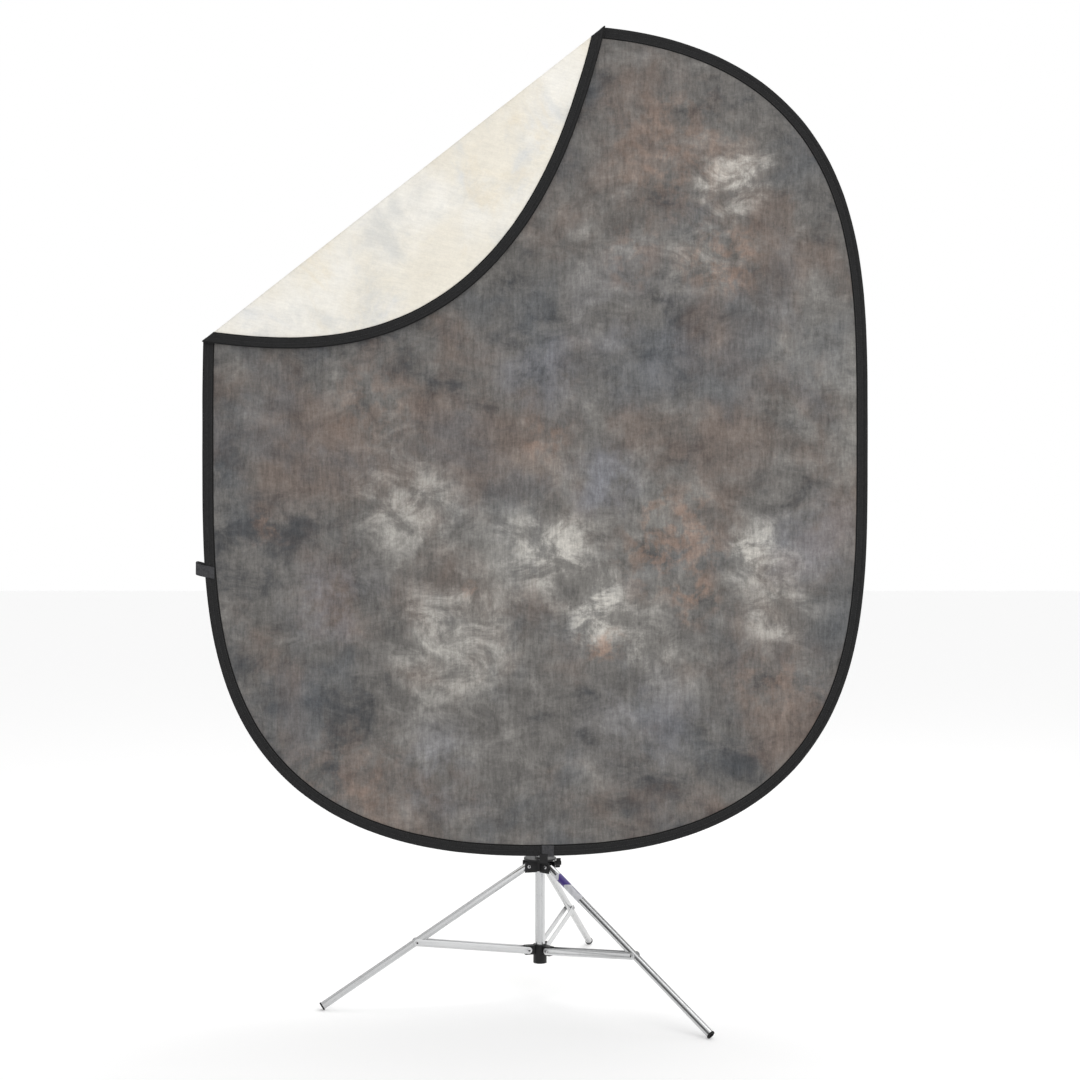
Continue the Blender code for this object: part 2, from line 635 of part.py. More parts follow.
for h in HEADINGS:
    side = UP.cross(h)
    low_pivot = frame(AXIS + h * PIVOT_R + UP * BRACE_PIVOT_Z, side, h)
    high_pivot = frame(AXIS + h * PIVOT_R + UP * LEG_PIVOT_Z, side, h)
    cut_from(spider, rod(None, RIVET_HOLE_R, -3 * SPARE, 3 * SPARE, low_pivot, steps=16))
    cut_from(collar, rod(None, RIVET_HOLE_R, -3 * SPARE, 3 * SPARE, high_pivot, steps=16))
knob_dir = heading(KNOB_HEADING)
knob_at = AXIS + UP * (LEG_PIVOT_Z + KNOB_RISE)
knob_frame = frame(knob_at, knob_dir, UP)
weld_to(collar, rod(None, LEG_BOSS_R, COLUMN_R + BOSS_ROOT, COLLAR_R + LEG_BOSS_REACH, knob_frame))
cut_from(
    collar,
    rod(None, COLUMN_R + CLEAR, collar_low - SPARE, flange_high + SPARE, upright, steps=32),
    rod(None, SCREW_HOLE_R, COLUMN_R - 0.3 * SPARE, COLLAR_R + 3 * SPARE, knob_frame, steps=16),
    box(None, (-FLANGE_R, saddle_y[0] + SADDLE_WALL, strip_floor),
        (FLANGE_R, saddle_y[1] - SADDLE_WALL, PANEL_BOTTOM + 5 * SPARE), upright),
)
seat = COLLAR_R + LEG_KNOB_SEAT
rod("leg_knob_screw", SCREW_R, COLUMN_R + CLEAR, seat + SCREW_BITE, knob_frame, "rivet_steel", 16)
knob = rod("leg_knob", LEG_KNOB_R, seat, seat + LEG_KNOB_LENGTH, knob_frame, "plastic_black")
wing_frame = knob_frame @ Matrix.Rotation(math.radians(WING_TURN), 4, "Z")
weld_to(knob, box(None, (-WING_REACH, -WING_HALF, seat + WING_SPAN[0]),
                  (WING_REACH, WING_HALF, seat + WING_SPAN[1]), wing_frame, bevel=EDGE_BEVEL))
cut_from(knob, rod(None, SCREW_HOLE_R, seat - SPARE, seat + SCREW_BITE + CLEAR, knob_frame, steps=16))


# Legs, braces and rivets

def rivet(name, half, where):
    """A rivet headed at both ends, as long as what it holds."""
    top = half + RIVET_HEAD
    side = [(0, top), (RIVET_HEAD_R * 0.6, top), (RIVET_HEAD_R, half + RIVET_HEAD * 0.4),
            (RIVET_HEAD_R, half), (RIVET_R, half)]
    lathe(name, side + [(r, -z) for r, z in reversed(side)], where, "rivet_steel", 16)


def strip_rivet(name, inner, outer, where):
    """The mid-leg rivet's head and the stub that fills its strip's hole."""
    top = outer + CLEAR + RIVET_HEAD
    side = [(0, top), (RIVET_HEAD_R * 0.6, top), (RIVET_HEAD_R, top - RIVET_HEAD * 0.6),
            (RIVET_HEAD_R, outer + CLEAR), (RIVET_R, outer + CLEAR), (RIVET_R, inner + CLEAR),
            (0, inner + CLEAR)]
    lathe(name, side, where, "rivet_steel", 16)


def stadium(length, half, steps=8):
    ends = []
    for x, start in ((length, -math.pi / 2), (0, math.pi / 2)):
        for i in range(steps + 1):
            a = start + math.pi * i / steps
            ends.append((x + half * math.cos(a), half * math.sin(a)))
    return ends


strip_loops = [stadium(BRACE_LENGTH, STRIP_WIDE / 2), circle(0, 0, RIVET_HOLE_R),
               circle(BRACE_LENGTH, 0, RIVET_HOLE_R)]
strip_out = STRIP_IN + STRIP_THICK
for i, h in enumerate(HEADINGS):
    n = str(i + 1)
    side = UP.cross(h)
    high_at = AXIS + h * PIVOT_R + UP * LEG_PIVOT_Z
    low_at = AXIS + h * PIVOT_R + UP * BRACE_PIVOT_Z
    leg_dir = h * math.sin(LEG_TILT) - UP * math.cos(LEG_TILT)
    brace_dir = h * math.cos(BRACE_TILT) + UP * math.sin(BRACE_TILT)
    leg_frame = frame(high_at, leg_dir, UP)
    tube_end = LEG_LENGTH - FOOT_FLANGE - CLEAR
    leg = tube("leg_tube_" + n, LEG_R, LEG_R - TUBE_WALL, -LEG_TOP, tube_end, leg_frame, "tube_silver")
    cut_from(leg, rod(None, RIVET_HOLE_R, -3 * SPARE, 3 * SPARE, frame(high_at, side, h), steps=16))
    plug = LEG_R - TUBE_WALL - CLEAR
    cap = [
        (FOOT_HOLE_R, LEG_LENGTH), (FOOT_R - FOOT_CHAMFER, LEG_LENGTH), (FOOT_R, LEG_LENGTH - FOOT_CHAMFER),
        (FOOT_R, LEG_LENGTH - FOOT_FLANGE), (plug, LEG_LENGTH - FOOT_FLANGE),
        (plug, LEG_LENGTH - FOOT_FLANGE - FOOT_PLUG), (FOOT_HOLE_R, LEG_LENGTH - FOOT_FLANGE - FOOT_PLUG),
    ]
    lathe("foot_cap_" + n, cap, leg_frame, "rubber_black", ring=True)
    rivet("top_rivet_" + n, cheek_out + CLEAR, frame(high_at, side, h))
    rivet("lower_rivet_" + n, strip_out + CLEAR, frame(low_at, side, h))
    for s, tag in ((-1, "a"), (1, "b")):
        middle = side * s * (STRIP_IN + STRIP_THICK / 2)
        strip_frame = frame(low_at + middle, side, brace_dir)
        plate("brace_strip_" + n + tag, strip_loops, STRIP_THICK, strip_frame, "tube_silver")
        mid_at = low_at + brace_dir * BRACE_LENGTH
        strip_rivet("strip_rivet_" + n + tag, STRIP_IN, strip_out, frame(mid_at, side * s, h))
label_leg = frame(
    AXIS + HEADINGS[1] * PIVOT_R + UP * LEG_PIVOT_Z,
    HEADINGS[1] * math.sin(LEG_TILT) - UP * math.cos(LEG_TILT), UP)
tube("leg_label", LEG_R + CLEAR + LABEL_THICK, LEG_R + CLEAR, *LABEL_SPAN, label_leg, "label_paper")

# Joint frames
PANEL = ("binding", "spring_hoop", "front_fabric", "back_fabric", "side_loop", "bottom_loop")
hang(PANEL, "panel_lift", PANEL_CENTRE)
hang(FLAP, "corner_fold", FOLD_AXIS)
hang(["leg_collar"] + ["top_rivet_" + n for n in "123"], "leg_collar_slide", AXIS + UP * LEG_PIVOT_Z)
hang(["leg_knob", "leg_knob_screw"], "leg_knob_turn", knob_at)
hang(["second_section", "lock_collar_2"], "second_slide", AXIS + UP * SECTION_2_Z[0])
hang(["third_section", "top_stud", "rest_head", "grip_pad"], "third_slide", AXIS + UP * SECTION_3_Z[0])
KNOBS = (("lock_knob_1", COLUMN_Z[1] + LOCK_SCREW_RISE), ("lock_knob_2", SECTION_2_Z[1] + LOCK_SCREW_RISE),
         ("head_knob", HEAD_Z))
for name, z in KNOBS:
    hang([name, name + "_screw"], name + "_turn", AXIS + UP * z)
for i, h in enumerate(HEADINGS):
    n = str(i + 1)
    extra = ["leg_label"] if i == 1 else []
    hang(["leg_tube_" + n, "foot_cap_" + n] + extra, "leg_%s_fold" % n,
         AXIS + h * PIVOT_R + UP * LEG_PIVOT_Z)
    braces = [stem + n + tag for stem in ("brace_strip_", "strip_rivet_") for tag in "ab"]
    hang(braces, "brace_%s_fold" % n, AXIS + h * PIVOT_R + UP * BRACE_PIVOT_Z)

closed_span = LEG_MID + BRACE_LENGTH - CLOSED_SLACK
travel = closed_span - (LEG_PIVOT_Z - BRACE_PIVOT_Z)
leg_end = math.acos((LEG_MID**2 + closed_span**2 - BRACE_LENGTH**2) / (2 * LEG_MID * closed_span))
brace_end = math.acos((BRACE_LENGTH**2 + closed_span**2 - LEG_MID**2) / (2 * BRACE_LENGTH * closed_span))
print("axis", tuple(AXIS), "leg pivot z", LEG_PIVOT_Z, "travel", travel)
print("leg turn", math.degrees(LEG_TILT - leg_end), "brace turn",
      math.degrees(math.pi / 2 - brace_end - BRACE_TILT))
print("fold axis", tuple(FOLD_AXIS), tuple(FOLD_DIR), "knob", tuple(knob_at), tuple(knob_dir))
print("head z", HEAD_Z, "panel bottom", PANEL_BOTTOM, "nodes", len(made))
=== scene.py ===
import json
import math

import bpy
from mathutils import Matrix, Vector, noise
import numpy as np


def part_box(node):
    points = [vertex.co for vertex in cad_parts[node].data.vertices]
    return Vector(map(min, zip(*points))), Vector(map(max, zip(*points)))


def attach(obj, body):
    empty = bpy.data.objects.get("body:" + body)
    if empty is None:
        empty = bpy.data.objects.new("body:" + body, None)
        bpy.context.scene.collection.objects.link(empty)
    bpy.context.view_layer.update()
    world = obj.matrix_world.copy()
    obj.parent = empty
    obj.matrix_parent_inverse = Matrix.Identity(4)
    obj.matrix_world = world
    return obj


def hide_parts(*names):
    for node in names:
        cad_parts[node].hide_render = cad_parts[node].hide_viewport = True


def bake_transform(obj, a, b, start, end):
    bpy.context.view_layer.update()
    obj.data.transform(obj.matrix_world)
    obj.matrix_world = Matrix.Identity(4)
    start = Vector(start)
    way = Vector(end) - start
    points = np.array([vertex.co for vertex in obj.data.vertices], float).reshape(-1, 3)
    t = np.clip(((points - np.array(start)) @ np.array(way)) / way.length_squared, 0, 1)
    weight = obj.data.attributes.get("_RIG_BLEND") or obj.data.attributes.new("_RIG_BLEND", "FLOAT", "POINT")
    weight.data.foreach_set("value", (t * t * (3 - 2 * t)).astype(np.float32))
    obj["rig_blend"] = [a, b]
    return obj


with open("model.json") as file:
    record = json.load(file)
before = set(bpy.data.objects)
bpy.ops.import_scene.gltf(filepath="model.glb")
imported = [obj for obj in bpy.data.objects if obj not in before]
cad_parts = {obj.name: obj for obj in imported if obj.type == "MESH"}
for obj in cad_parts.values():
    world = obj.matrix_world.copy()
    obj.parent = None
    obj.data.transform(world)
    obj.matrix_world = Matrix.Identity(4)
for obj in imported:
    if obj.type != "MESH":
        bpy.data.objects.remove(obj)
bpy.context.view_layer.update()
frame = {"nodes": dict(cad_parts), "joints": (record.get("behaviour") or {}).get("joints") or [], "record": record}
nodes = frame["nodes"]
joints = {joint["name"]: joint for joint in frame["joints"]}
print("frame loaded:", len(nodes), "nodes")

panel = {"tall": 1.829, "roundWide": 2.37, "roundTall": 3.45, "flapFlatten": 0.87}
tapeLow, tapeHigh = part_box("binding")
halfWide = (tapeHigh.x - tapeLow.x) / 2
halfTall = panel["tall"] / 2
centre = Vector(((tapeLow.x + tapeHigh.x) / 2, (tapeLow.y + tapeHigh.y) / 2, tapeLow.z + halfTall))
foldPoint = Vector(joints["corner_fold"]["pos_m"])
foldDir = -Vector(joints["corner_fold"]["axis"])
foldOut = Vector((-foldDir.z, 0, foldDir.x))
foldAway = (foldPoint - centre).dot(foldOut)
foldRadius = centre.y - foldPoint.y
creaseRun = math.pi * foldRadius
creaseBulge = 0.0018
columnLow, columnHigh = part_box("column_tube")
standAxis = Vector(((columnLow.x + columnHigh.x) / 2, (columnLow.y + columnHigh.y) / 2, 0))


# selecting and finishing

def onlyThis(obj):
    if bpy.context.mode != "OBJECT":
        bpy.ops.object.mode_set(mode="OBJECT")
    bpy.ops.object.select_all(action="DESELECT")
    obj.select_set(True)
    bpy.context.view_layer.objects.active = obj


def applyAll(obj):
    onlyThis(obj)
    for modifier in list(obj.modifiers):
        bpy.ops.object.modifier_apply(modifier=modifier.name)


def addObject(name, data):
    obj = bpy.data.objects.new(name, data)
    bpy.context.scene.collection.objects.link(obj)
    return obj


def storePlaces(mesh, name, places):
    layer = mesh.attributes.new(name, "FLOAT_VECTOR", "POINT")
    layer.data.foreach_set("vector", [value for place in places for value in place])


def thicken(obj, thickness):
    modifier = obj.modifiers.new("thick", "SOLIDIFY")
    modifier.thickness = thickness
    modifier.offset = 0


def breakEdges(obj, width, segments):
    modifier = obj.modifiers.new("soft", "BEVEL")
    modifier.width = width
    modifier.segments = segments
    modifier.limit_method = "ANGLE"
    return modifier


# turns every face of a closed shape outwards
def facedOut(obj):
    onlyThis(obj)
    bpy.ops.object.mode_set(mode="EDIT")
    bpy.ops.mesh.select_all(action="SELECT")
    bpy.ops.mesh.normals_make_consistent(inside=False)
    bpy.ops.object.mode_set(mode="OBJECT")
    return obj


def smoothEdges(obj, degrees):
    onlyThis(obj)
    bpy.ops.object.shade_smooth_by_angle(angle=math.radians(degrees))


def wear(obj, material):
    obj.data.materials.clear()
    obj.data.materials.append(material)


# shader building

def put(tree, kind, settings=None, **inputs):
    node = tree.nodes.new(kind)
    for key, value in (settings or {}).items():
        setattr(node, key, value)
    for key, value in inputs.items():
        socket = node.inputs[int(key[1:])] if key[0] == "i" and key[1:].isdigit() else node.inputs[key]
        if isinstance(value, bpy.types.NodeSocket):
            tree.links.new(value, socket)
        else:
            socket.default_value = value
    return node


def maths(tree, how, a, b=0.0):
    return put(tree, "ShaderNodeMath", {"operation": how}, i0=a, i1=b).outputs[0]


def times(tree, a, b):
    return maths(tree, "MULTIPLY", a, b)


def plus(tree, a, b):
    return maths(tree, "ADD", a, b)


def vectorMaths(tree, how, a, b=(0, 0, 0), result=0):
    return put(tree, "ShaderNodeVectorMath", {"operation": how}, i0=a, i1=b).outputs[result]


def blendColour(tree, amount, a, b, how="MIX"):
    settings = {"data_type": "RGBA", "blend_type": how}
    return put(tree, "ShaderNodeMix", settings, i0=amount, i6=a, i7=b).outputs[2]


def remap(tree, value, low, high, toLow=0.0, toHigh=1.0, kind="SMOOTHSTEP"):
    node = put(tree, "ShaderNodeMapRange", {"interpolation_type": kind}, i0=value, i1=low, i2=high, i3=toLow,
               i4=toHigh)
    return node.outputs[0]


def speckle(tree, vector, scale, detail, roughness, distortion=0.0):
    node = put(tree, "ShaderNodeTexNoise", None, Vector=vector, Scale=scale, Detail=detail,
               Roughness=roughness, Distortion=distortion)
    return node.outputs[0]


def stretched(tree, vector, scale, location=(0, 0, 0)):
    return put(tree, "ShaderNodeMapping", None, Vector=vector, Scale=scale, Location=location).outputs[0]


def rgb(value):
    return (*value, 1.0) if len(value) == 3 else value


# a place that was stored in the mesh, so that a pattern follows the surface
def storedPlace(tree, name):
    return put(tree, "ShaderNodeAttribute", {"attribute_name": name}).outputs["Vector"]


def startMaterial(name):
    material = bpy.data.materials.new(name)
    material.use_nodes = True
    tree = material.node_tree
    return material, tree, tree.nodes["Principled BSDF"]


def startGroup(name, takes, gives):
    group = bpy.data.node_groups.new(name, "ShaderNodeTree")
    for label, kind, value in takes:
        socket = group.interface.new_socket(label, in_out="INPUT", socket_type=kind)
        if value is not None:
            socket.default_value = value
    for label, kind in gives:
        group.interface.new_socket(label, in_out="OUTPUT", socket_type=kind)
    return group, group.nodes.new("NodeGroupInput"), group.nodes.new("NodeGroupOutput")


def useGroup(tree, group, **inputs):
    node = tree.nodes.new("ShaderNodeGroup")
    node.node_tree = group
    for key, value in inputs.items():
        socket = node.inputs[key]
        if isinstance(value, bpy.types.NodeSocket):
            tree.links.new(value, socket)
        else:
            socket.default_value = value
    return node


def makeClothWeave():
    group, given, out = startGroup(
        "clothWeave",
        [("Place", "NodeSocketVector", None), ("Threads", "NodeSocketFloat", 900.0),
         ("Slub", "NodeSocketFloat", 0.5)],
        [("Shade", "NodeSocketFloat"), ("Height", "NodeSocketFloat")])
    place, threads = given.outputs["Place"], given.outputs["Threads"]
    upright = stretched(group, place, (1, 1, 0.30))
    across = stretched(group, place, (0.36, 1, 1))
    warp = speckle(group, upright, times(group, threads, 0.35), 4.0, 0.75)
    weft = speckle(group, across, times(group, threads, 0.3), 4.0, 0.75)
    thick = stretched(group, place, (1, 1, 0.16))
    slub = speckle(group, thick, times(group, threads, 0.11), 4.0, 0.7)
    both = plus(group, times(group, warp, 0.62), times(group, weft, 0.38))
    lifted = times(group, maths(group, "SUBTRACT", slub, 0.5), given.outputs["Slub"])
    shade = plus(group, both, lifted)
    group.links.new(shade, out.inputs["Shade"])
    group.links.new(both, out.inputs["Height"])
    return group


# hand-dyed clouding: a broad wash, a middling mottle and crumpled wisps
def makeDyeClouds():
    group, given, out = startGroup(
        "dyeClouds",
        [("Place", "NodeSocketVector", None), ("Wash", "NodeSocketFloat", 1.6),
         ("Crumple", "NodeSocketFloat", 9.0)],
        [("Wash", "NodeSocketFloat"), ("Mottle", "NodeSocketFloat"), ("Wisps", "NodeSocketFloat")])
    place = given.outputs["Place"]
    wash = speckle(group, place, given.outputs["Wash"], 6.0, 0.58, 0.2)
    mottle = speckle(group, place, times(group, given.outputs["Wash"], 3.1), 8.0, 0.66, 0.25)
    slanted = put(group, "ShaderNodeMapping", None, Vector=place, Rotation=(0, 0.7, 0), Scale=(0.8, 1, 1.2))
    wisps = speckle(group, slanted.outputs[0], given.outputs["Crumple"], 9.0, 0.70, 0.45)
    group.links.new(wash, out.inputs["Wash"])
    group.links.new(mottle, out.inputs["Mottle"])
    group.links.new(wisps, out.inputs["Wisps"])
    return group


# dust, scuffs and fine scratches that any moulded or metal part picks up
def makeHandling():
    group, given, out = startGroup(
        "handlingMarks",
        [("Place", "NodeSocketVector", None), ("Size", "NodeSocketFloat", 60.0)],
        [("Dust", "NodeSocketFloat"), ("Scratch", "NodeSocketFloat"), ("Grain", "NodeSocketFloat")])
    place, size = given.outputs["Place"], given.outputs["Size"]
    dust = remap(group, speckle(group, place, size, 6.0, 0.7), 0.48, 0.72)
    thin = stretched(group, place, (1.0, 6.0, 0.35))
    scratch = remap(group, speckle(group, thin, times(group, size, 7.0), 3.0, 0.7), 0.60, 0.68)
    grain = speckle(group, place, times(group, size, 22.0), 2.0, 0.5)
    group.links.new(dust, out.inputs["Dust"])
    group.links.new(scratch, out.inputs["Scratch"])
    group.links.new(grain, out.inputs["Grain"])
    return group


clothWeave = makeClothWeave()
dyeClouds = makeDyeClouds()
handlingMarks = makeHandling()


def objectPlace(tree):
    return put(tree, "ShaderNodeTexCoord").outputs["Object"]


def bump(tree, height, strength, distance, normal=None):
    node = put(tree, "ShaderNodeBump", None, Height=height, Strength=strength, Distance=distance)
    if normal is not None:
        tree.links.new(normal, node.inputs["Normal"])
    return node.outputs[0]


# soft round patches, each (x, z, radius, strength) in metres from the panel's middle
def patchMask(tree, place, spots):
    total = None
    for x, z, radius, strength in spots:
        flat = vectorMaths(tree, "DISTANCE", place, (x, 0, z), "Value")
        spot = remap(tree, flat, radius, radius * 0.15, 0.0, strength)
        total = spot if total is None else maths(tree, "MAXIMUM", total, spot)
    return total


greyMuslin = {
    "deep": (0.078, 0.080, 0.084), "body": (0.150, 0.143, 0.136), "light": (0.245, 0.235, 0.220),
    "pale": (0.59, 0.565, 0.52), "brown": (0.190, 0.138, 0.112), "rust": (0.38, 0.245, 0.180),
    "slate": (0.112, 0.122, 0.134), "indigo": (0.245, 0.250, 0.280),
    "paleSpots": [(0.14, -0.37, 0.12, 1.0), (0.03, -0.25, 0.14, 0.8), (0.49, -0.25, 0.12, 0.75),
                  (0.44, 0.57, 0.11, 0.9), (-0.28, -0.14, 0.17, 0.45), (-0.18, -0.44, 0.20, 0.5),
                  (0.53, -0.38, 0.11, 0.45), (0.25, -0.46, 0.09, 0.5), (0.36, 0.40, 0.13, 0.25)],
    "rustSpots": [(0.30, -0.22, 0.17, 0.85), (0.14, -0.45, 0.07, 1.0), (0.34, -0.34, 0.08, 1.0),
                  (0.42, 0.40, 0.13, 0.75), (0.22, 0.40, 0.10, 0.4), (-0.15, -0.33, 0.035, 1.0),
                  (0.02, 0.01, 0.07, 0.6), (-0.60, -0.20, 0.07, 0.5), (0.30, 0.64, 0.22, 0.45),
                  (0.53, -0.55, 0.14, 0.4), (-0.35, 0.07, 0.16, 0.35), (-0.40, -0.76, 0.20, 0.3)],
    "slateSpots": [(0.16, -0.09, 0.12, 1.0), (0.01, 0.16, 0.15, 0.7), (0.23, 0.25, 0.22, 0.5),
                   (0.60, -0.22, 0.14, 0.6), (-0.45, -0.35, 0.14, 0.7), (-0.22, -0.72, 0.14, 0.6),
                   (0.24, -0.62, 0.18, 0.5)],
    "deepSpots": [(0.01, 0.21, 0.20, 0.7), (-0.60, -0.18, 0.26, 1.0), (0.32, -0.40, 0.09, 0.7),
                  (0.38, 0.10, 0.26, 0.5), (-0.46, -0.27, 0.18, 0.7), (-0.08, -0.09, 0.09, 0.6),
                  (0.27, -0.24, 0.05, 0.9), (0.55, -0.10, 0.18, 0.5), (-0.45, -0.58, 0.20, 0.5)],
    "glow": [(0.14, -0.24, 0.60, 0.055), (0.68, 0.12, 0.50, 0.05)],
    "wander": 0.16, "threads": 900.0, "streak": 0.34, "roughness": 0.92,
}


# patches are drawn about a place that wanders, so that none keeps a round edge
def wanderingPlace(tree, place, wander):
    swirl = put(tree, "ShaderNodeTexNoise", None, Vector=place, Scale=7.0, Detail=5.0, Roughness=0.6)
    drift = vectorMaths(tree, "SUBTRACT", swirl.outputs[1], (0.5, 0.5, 0.5))
    return vectorMaths(tree, "ADD", place, vectorMaths(tree, "MULTIPLY", drift, (wander, 0.0, wander)))


# darkens and lightens a colour by one even factor
def scaleColour(tree, colour, gain):
    level = put(tree, "ShaderNodeCombineColor", None, i0=gain, i1=gain, i2=gain).outputs[0]
    return blendColour(tree, 1.0, colour, level, "MULTIPLY")


def makeGreyMuslin():
    dye = greyMuslin
    material, tree, shader = startMaterial("mottledGreyMuslin")
    place = storedPlace(tree, "clothSpace")
    clouds = useGroup(tree, dyeClouds, Place=place, Wash=2.0, Crumple=13.0)
    wandering = wanderingPlace(tree, place, dye["wander"])
    tone = plus(tree, times(tree, clouds.outputs["Wash"], 0.36),
                times(tree, clouds.outputs["Mottle"], 0.34))
    tone = plus(tree, tone, times(tree, clouds.outputs["Wisps"], 0.30))
    tone = plus(tree, tone, patchMask(tree, wandering, dye["glow"]))
    deep = patchMask(tree, wandering, dye["deepSpots"])
    tone = maths(tree, "SUBTRACT", tone, times(tree, deep, 0.07))
    colour = blendColour(tree, remap(tree, tone, 0.39, 0.50), rgb(dye["deep"]), rgb(dye["body"]))
    colour = blendColour(tree, remap(tree, tone, 0.49, 0.64), colour, rgb(dye["light"]))
    warm = speckle(tree, stretched(tree, place, (1, 1, 1), (3.1, 0, 1.7)), 3.2, 7.0, 0.62, 0.3)
    colour = blendColour(tree, remap(tree, warm, 0.46, 0.64, 0.0, 0.50), colour, rgb(dye["brown"]))
    cool = speckle(tree, stretched(tree, place, (1, 1, 1), (7.4, 0, 5.2)), 3.6, 7.0, 0.62, 0.3)
    colour = blendColour(tree, remap(tree, cool, 0.48, 0.66, 0.0, 0.50), colour, rgb(dye["slate"]))
    slate = times(tree, patchMask(tree, wandering, dye["slateSpots"]),
                 remap(tree, clouds.outputs["Mottle"], 0.40, 0.60))
    colour = blendColour(tree, times(tree, slate, 0.70), colour, rgb(dye["indigo"]))
    crumple = remap(tree, clouds.outputs["Wisps"], 0.42, 0.62)
    pale = times(tree, patchMask(tree, wandering, dye["paleSpots"]),
                plus(tree, times(tree, crumple, 0.75), 0.25))
    colour = blendColour(tree, times(tree, pale, 0.95), colour, rgb(dye["pale"]))
    flecks = remap(tree, speckle(tree, place, 21.0, 6.0, 0.65, 0.3), 0.44, 0.60)
    rust = times(tree, patchMask(tree, wandering, dye["rustSpots"]), flecks)
    colour = blendColour(tree, times(tree, rust, 0.52), colour, rgb(dye["rust"]))
    weave = useGroup(tree, clothWeave, Place=place, Threads=dye["threads"], Slub=0.7)
    gain = remap(tree, weave.outputs["Shade"], 0.25, 0.75, 1.0 - dye["streak"], 1.0 + dye["streak"], "LINEAR")
    gain = times(tree, gain, remap(tree, clouds.outputs["Wisps"], 0.3, 0.7, 0.76, 1.24, "LINEAR"))
    tree.links.new(scaleColour(tree, colour, gain), shader.inputs["Base Color"])
    shader.inputs["Roughness"].default_value = dye["roughness"]
    shader.inputs["Specular IOR Level"].default_value = 0.15
    shader.inputs["Sheen Weight"].default_value = 0.05
    fine = bump(tree, weave.outputs["Height"], 0.35, 0.0006)
    tree.links.new(bump(tree, clouds.outputs["Wisps"], 0.25, 0.004, fine), shader.inputs["Normal"])
    return material


creamMuslin = {
    "ground": (0.82, 0.775, 0.680), "grey": (0.60, 0.605, 0.59), "blue": (0.60, 0.635, 0.68),
    "straw": (0.80, 0.715, 0.565), "white": (0.87, 0.845, 0.785), "threads": 900.0, "streak": 0.10,
    "roughness": 0.92,
}


def makeCreamMuslin():
    dye = creamMuslin
    material, tree, shader = startMaterial("mottledCreamMuslin")
    place = storedPlace(tree, "clothSpace")
    cloudPlace = stretched(tree, place, (1, 1, 1), (2.3, 0, 4.1))
    clouds = useGroup(tree, dyeClouds, Place=cloudPlace, Wash=3.4, Crumple=10.0)
    wash = remap(tree, clouds.outputs["Wash"], 0.42, 0.62)
    colour = blendColour(tree, wash, rgb(dye["ground"]), rgb(dye["white"]))
    grey = speckle(tree, stretched(tree, place, (1, 1, 1), (5.0, 0, 0.3)), 6.5, 6.0, 0.6, 0.6)
    colour = blendColour(tree, remap(tree, grey, 0.50, 0.70, 0.0, 0.6), colour, rgb(dye["grey"]))
    blue = speckle(tree, stretched(tree, place, (1, 1, 1), (1.4, 0, 8.3)), 5.2, 6.0, 0.62, 0.5)
    colour = blendColour(tree, remap(tree, blue, 0.54, 0.72, 0.0, 0.55), colour, rgb(dye["blue"]))
    straw = speckle(tree, stretched(tree, place, (1, 1, 1), (9.2, 0, 2.6)), 5.8, 7.0, 0.66, 0.9)
    colour = blendColour(tree, remap(tree, straw, 0.52, 0.70, 0.0, 0.5), colour, rgb(dye["straw"]))
    weave = useGroup(tree, clothWeave, Place=place, Threads=dye["threads"], Slub=0.5)
    gain = remap(tree, weave.outputs["Shade"], 0.25, 0.75, 1.0 - dye["streak"], 1.0 + dye["streak"], "LINEAR")
    gain = times(tree, gain, remap(tree, clouds.outputs["Wisps"], 0.3, 0.7, 0.96, 1.04, "LINEAR"))
    tree.links.new(scaleColour(tree, colour, gain), shader.inputs["Base Color"])
    shader.inputs["Roughness"].default_value = dye["roughness"]
    shader.inputs["Specular IOR Level"].default_value = 0.15
    shader.inputs["Sheen Weight"].default_value = 0.08
    tree.links.new(bump(tree, weave.outputs["Height"], 0.3, 0.0006), shader.inputs["Normal"])
    return material


tapes = {
    # edge is a painted shade colour, laid along both rolled edges of each tape
    "blackEdgeTape": {"face": (0.019, 0.019, 0.0195), "edge": (0.004, 0.004, 0.004), "ribs": 1400.0},
    "blackWebbing": {"face": (0.052, 0.052, 0.055), "edge": (0.024, 0.024, 0.026), "ribs": 900.0},
}
tapeWidth = 0.025


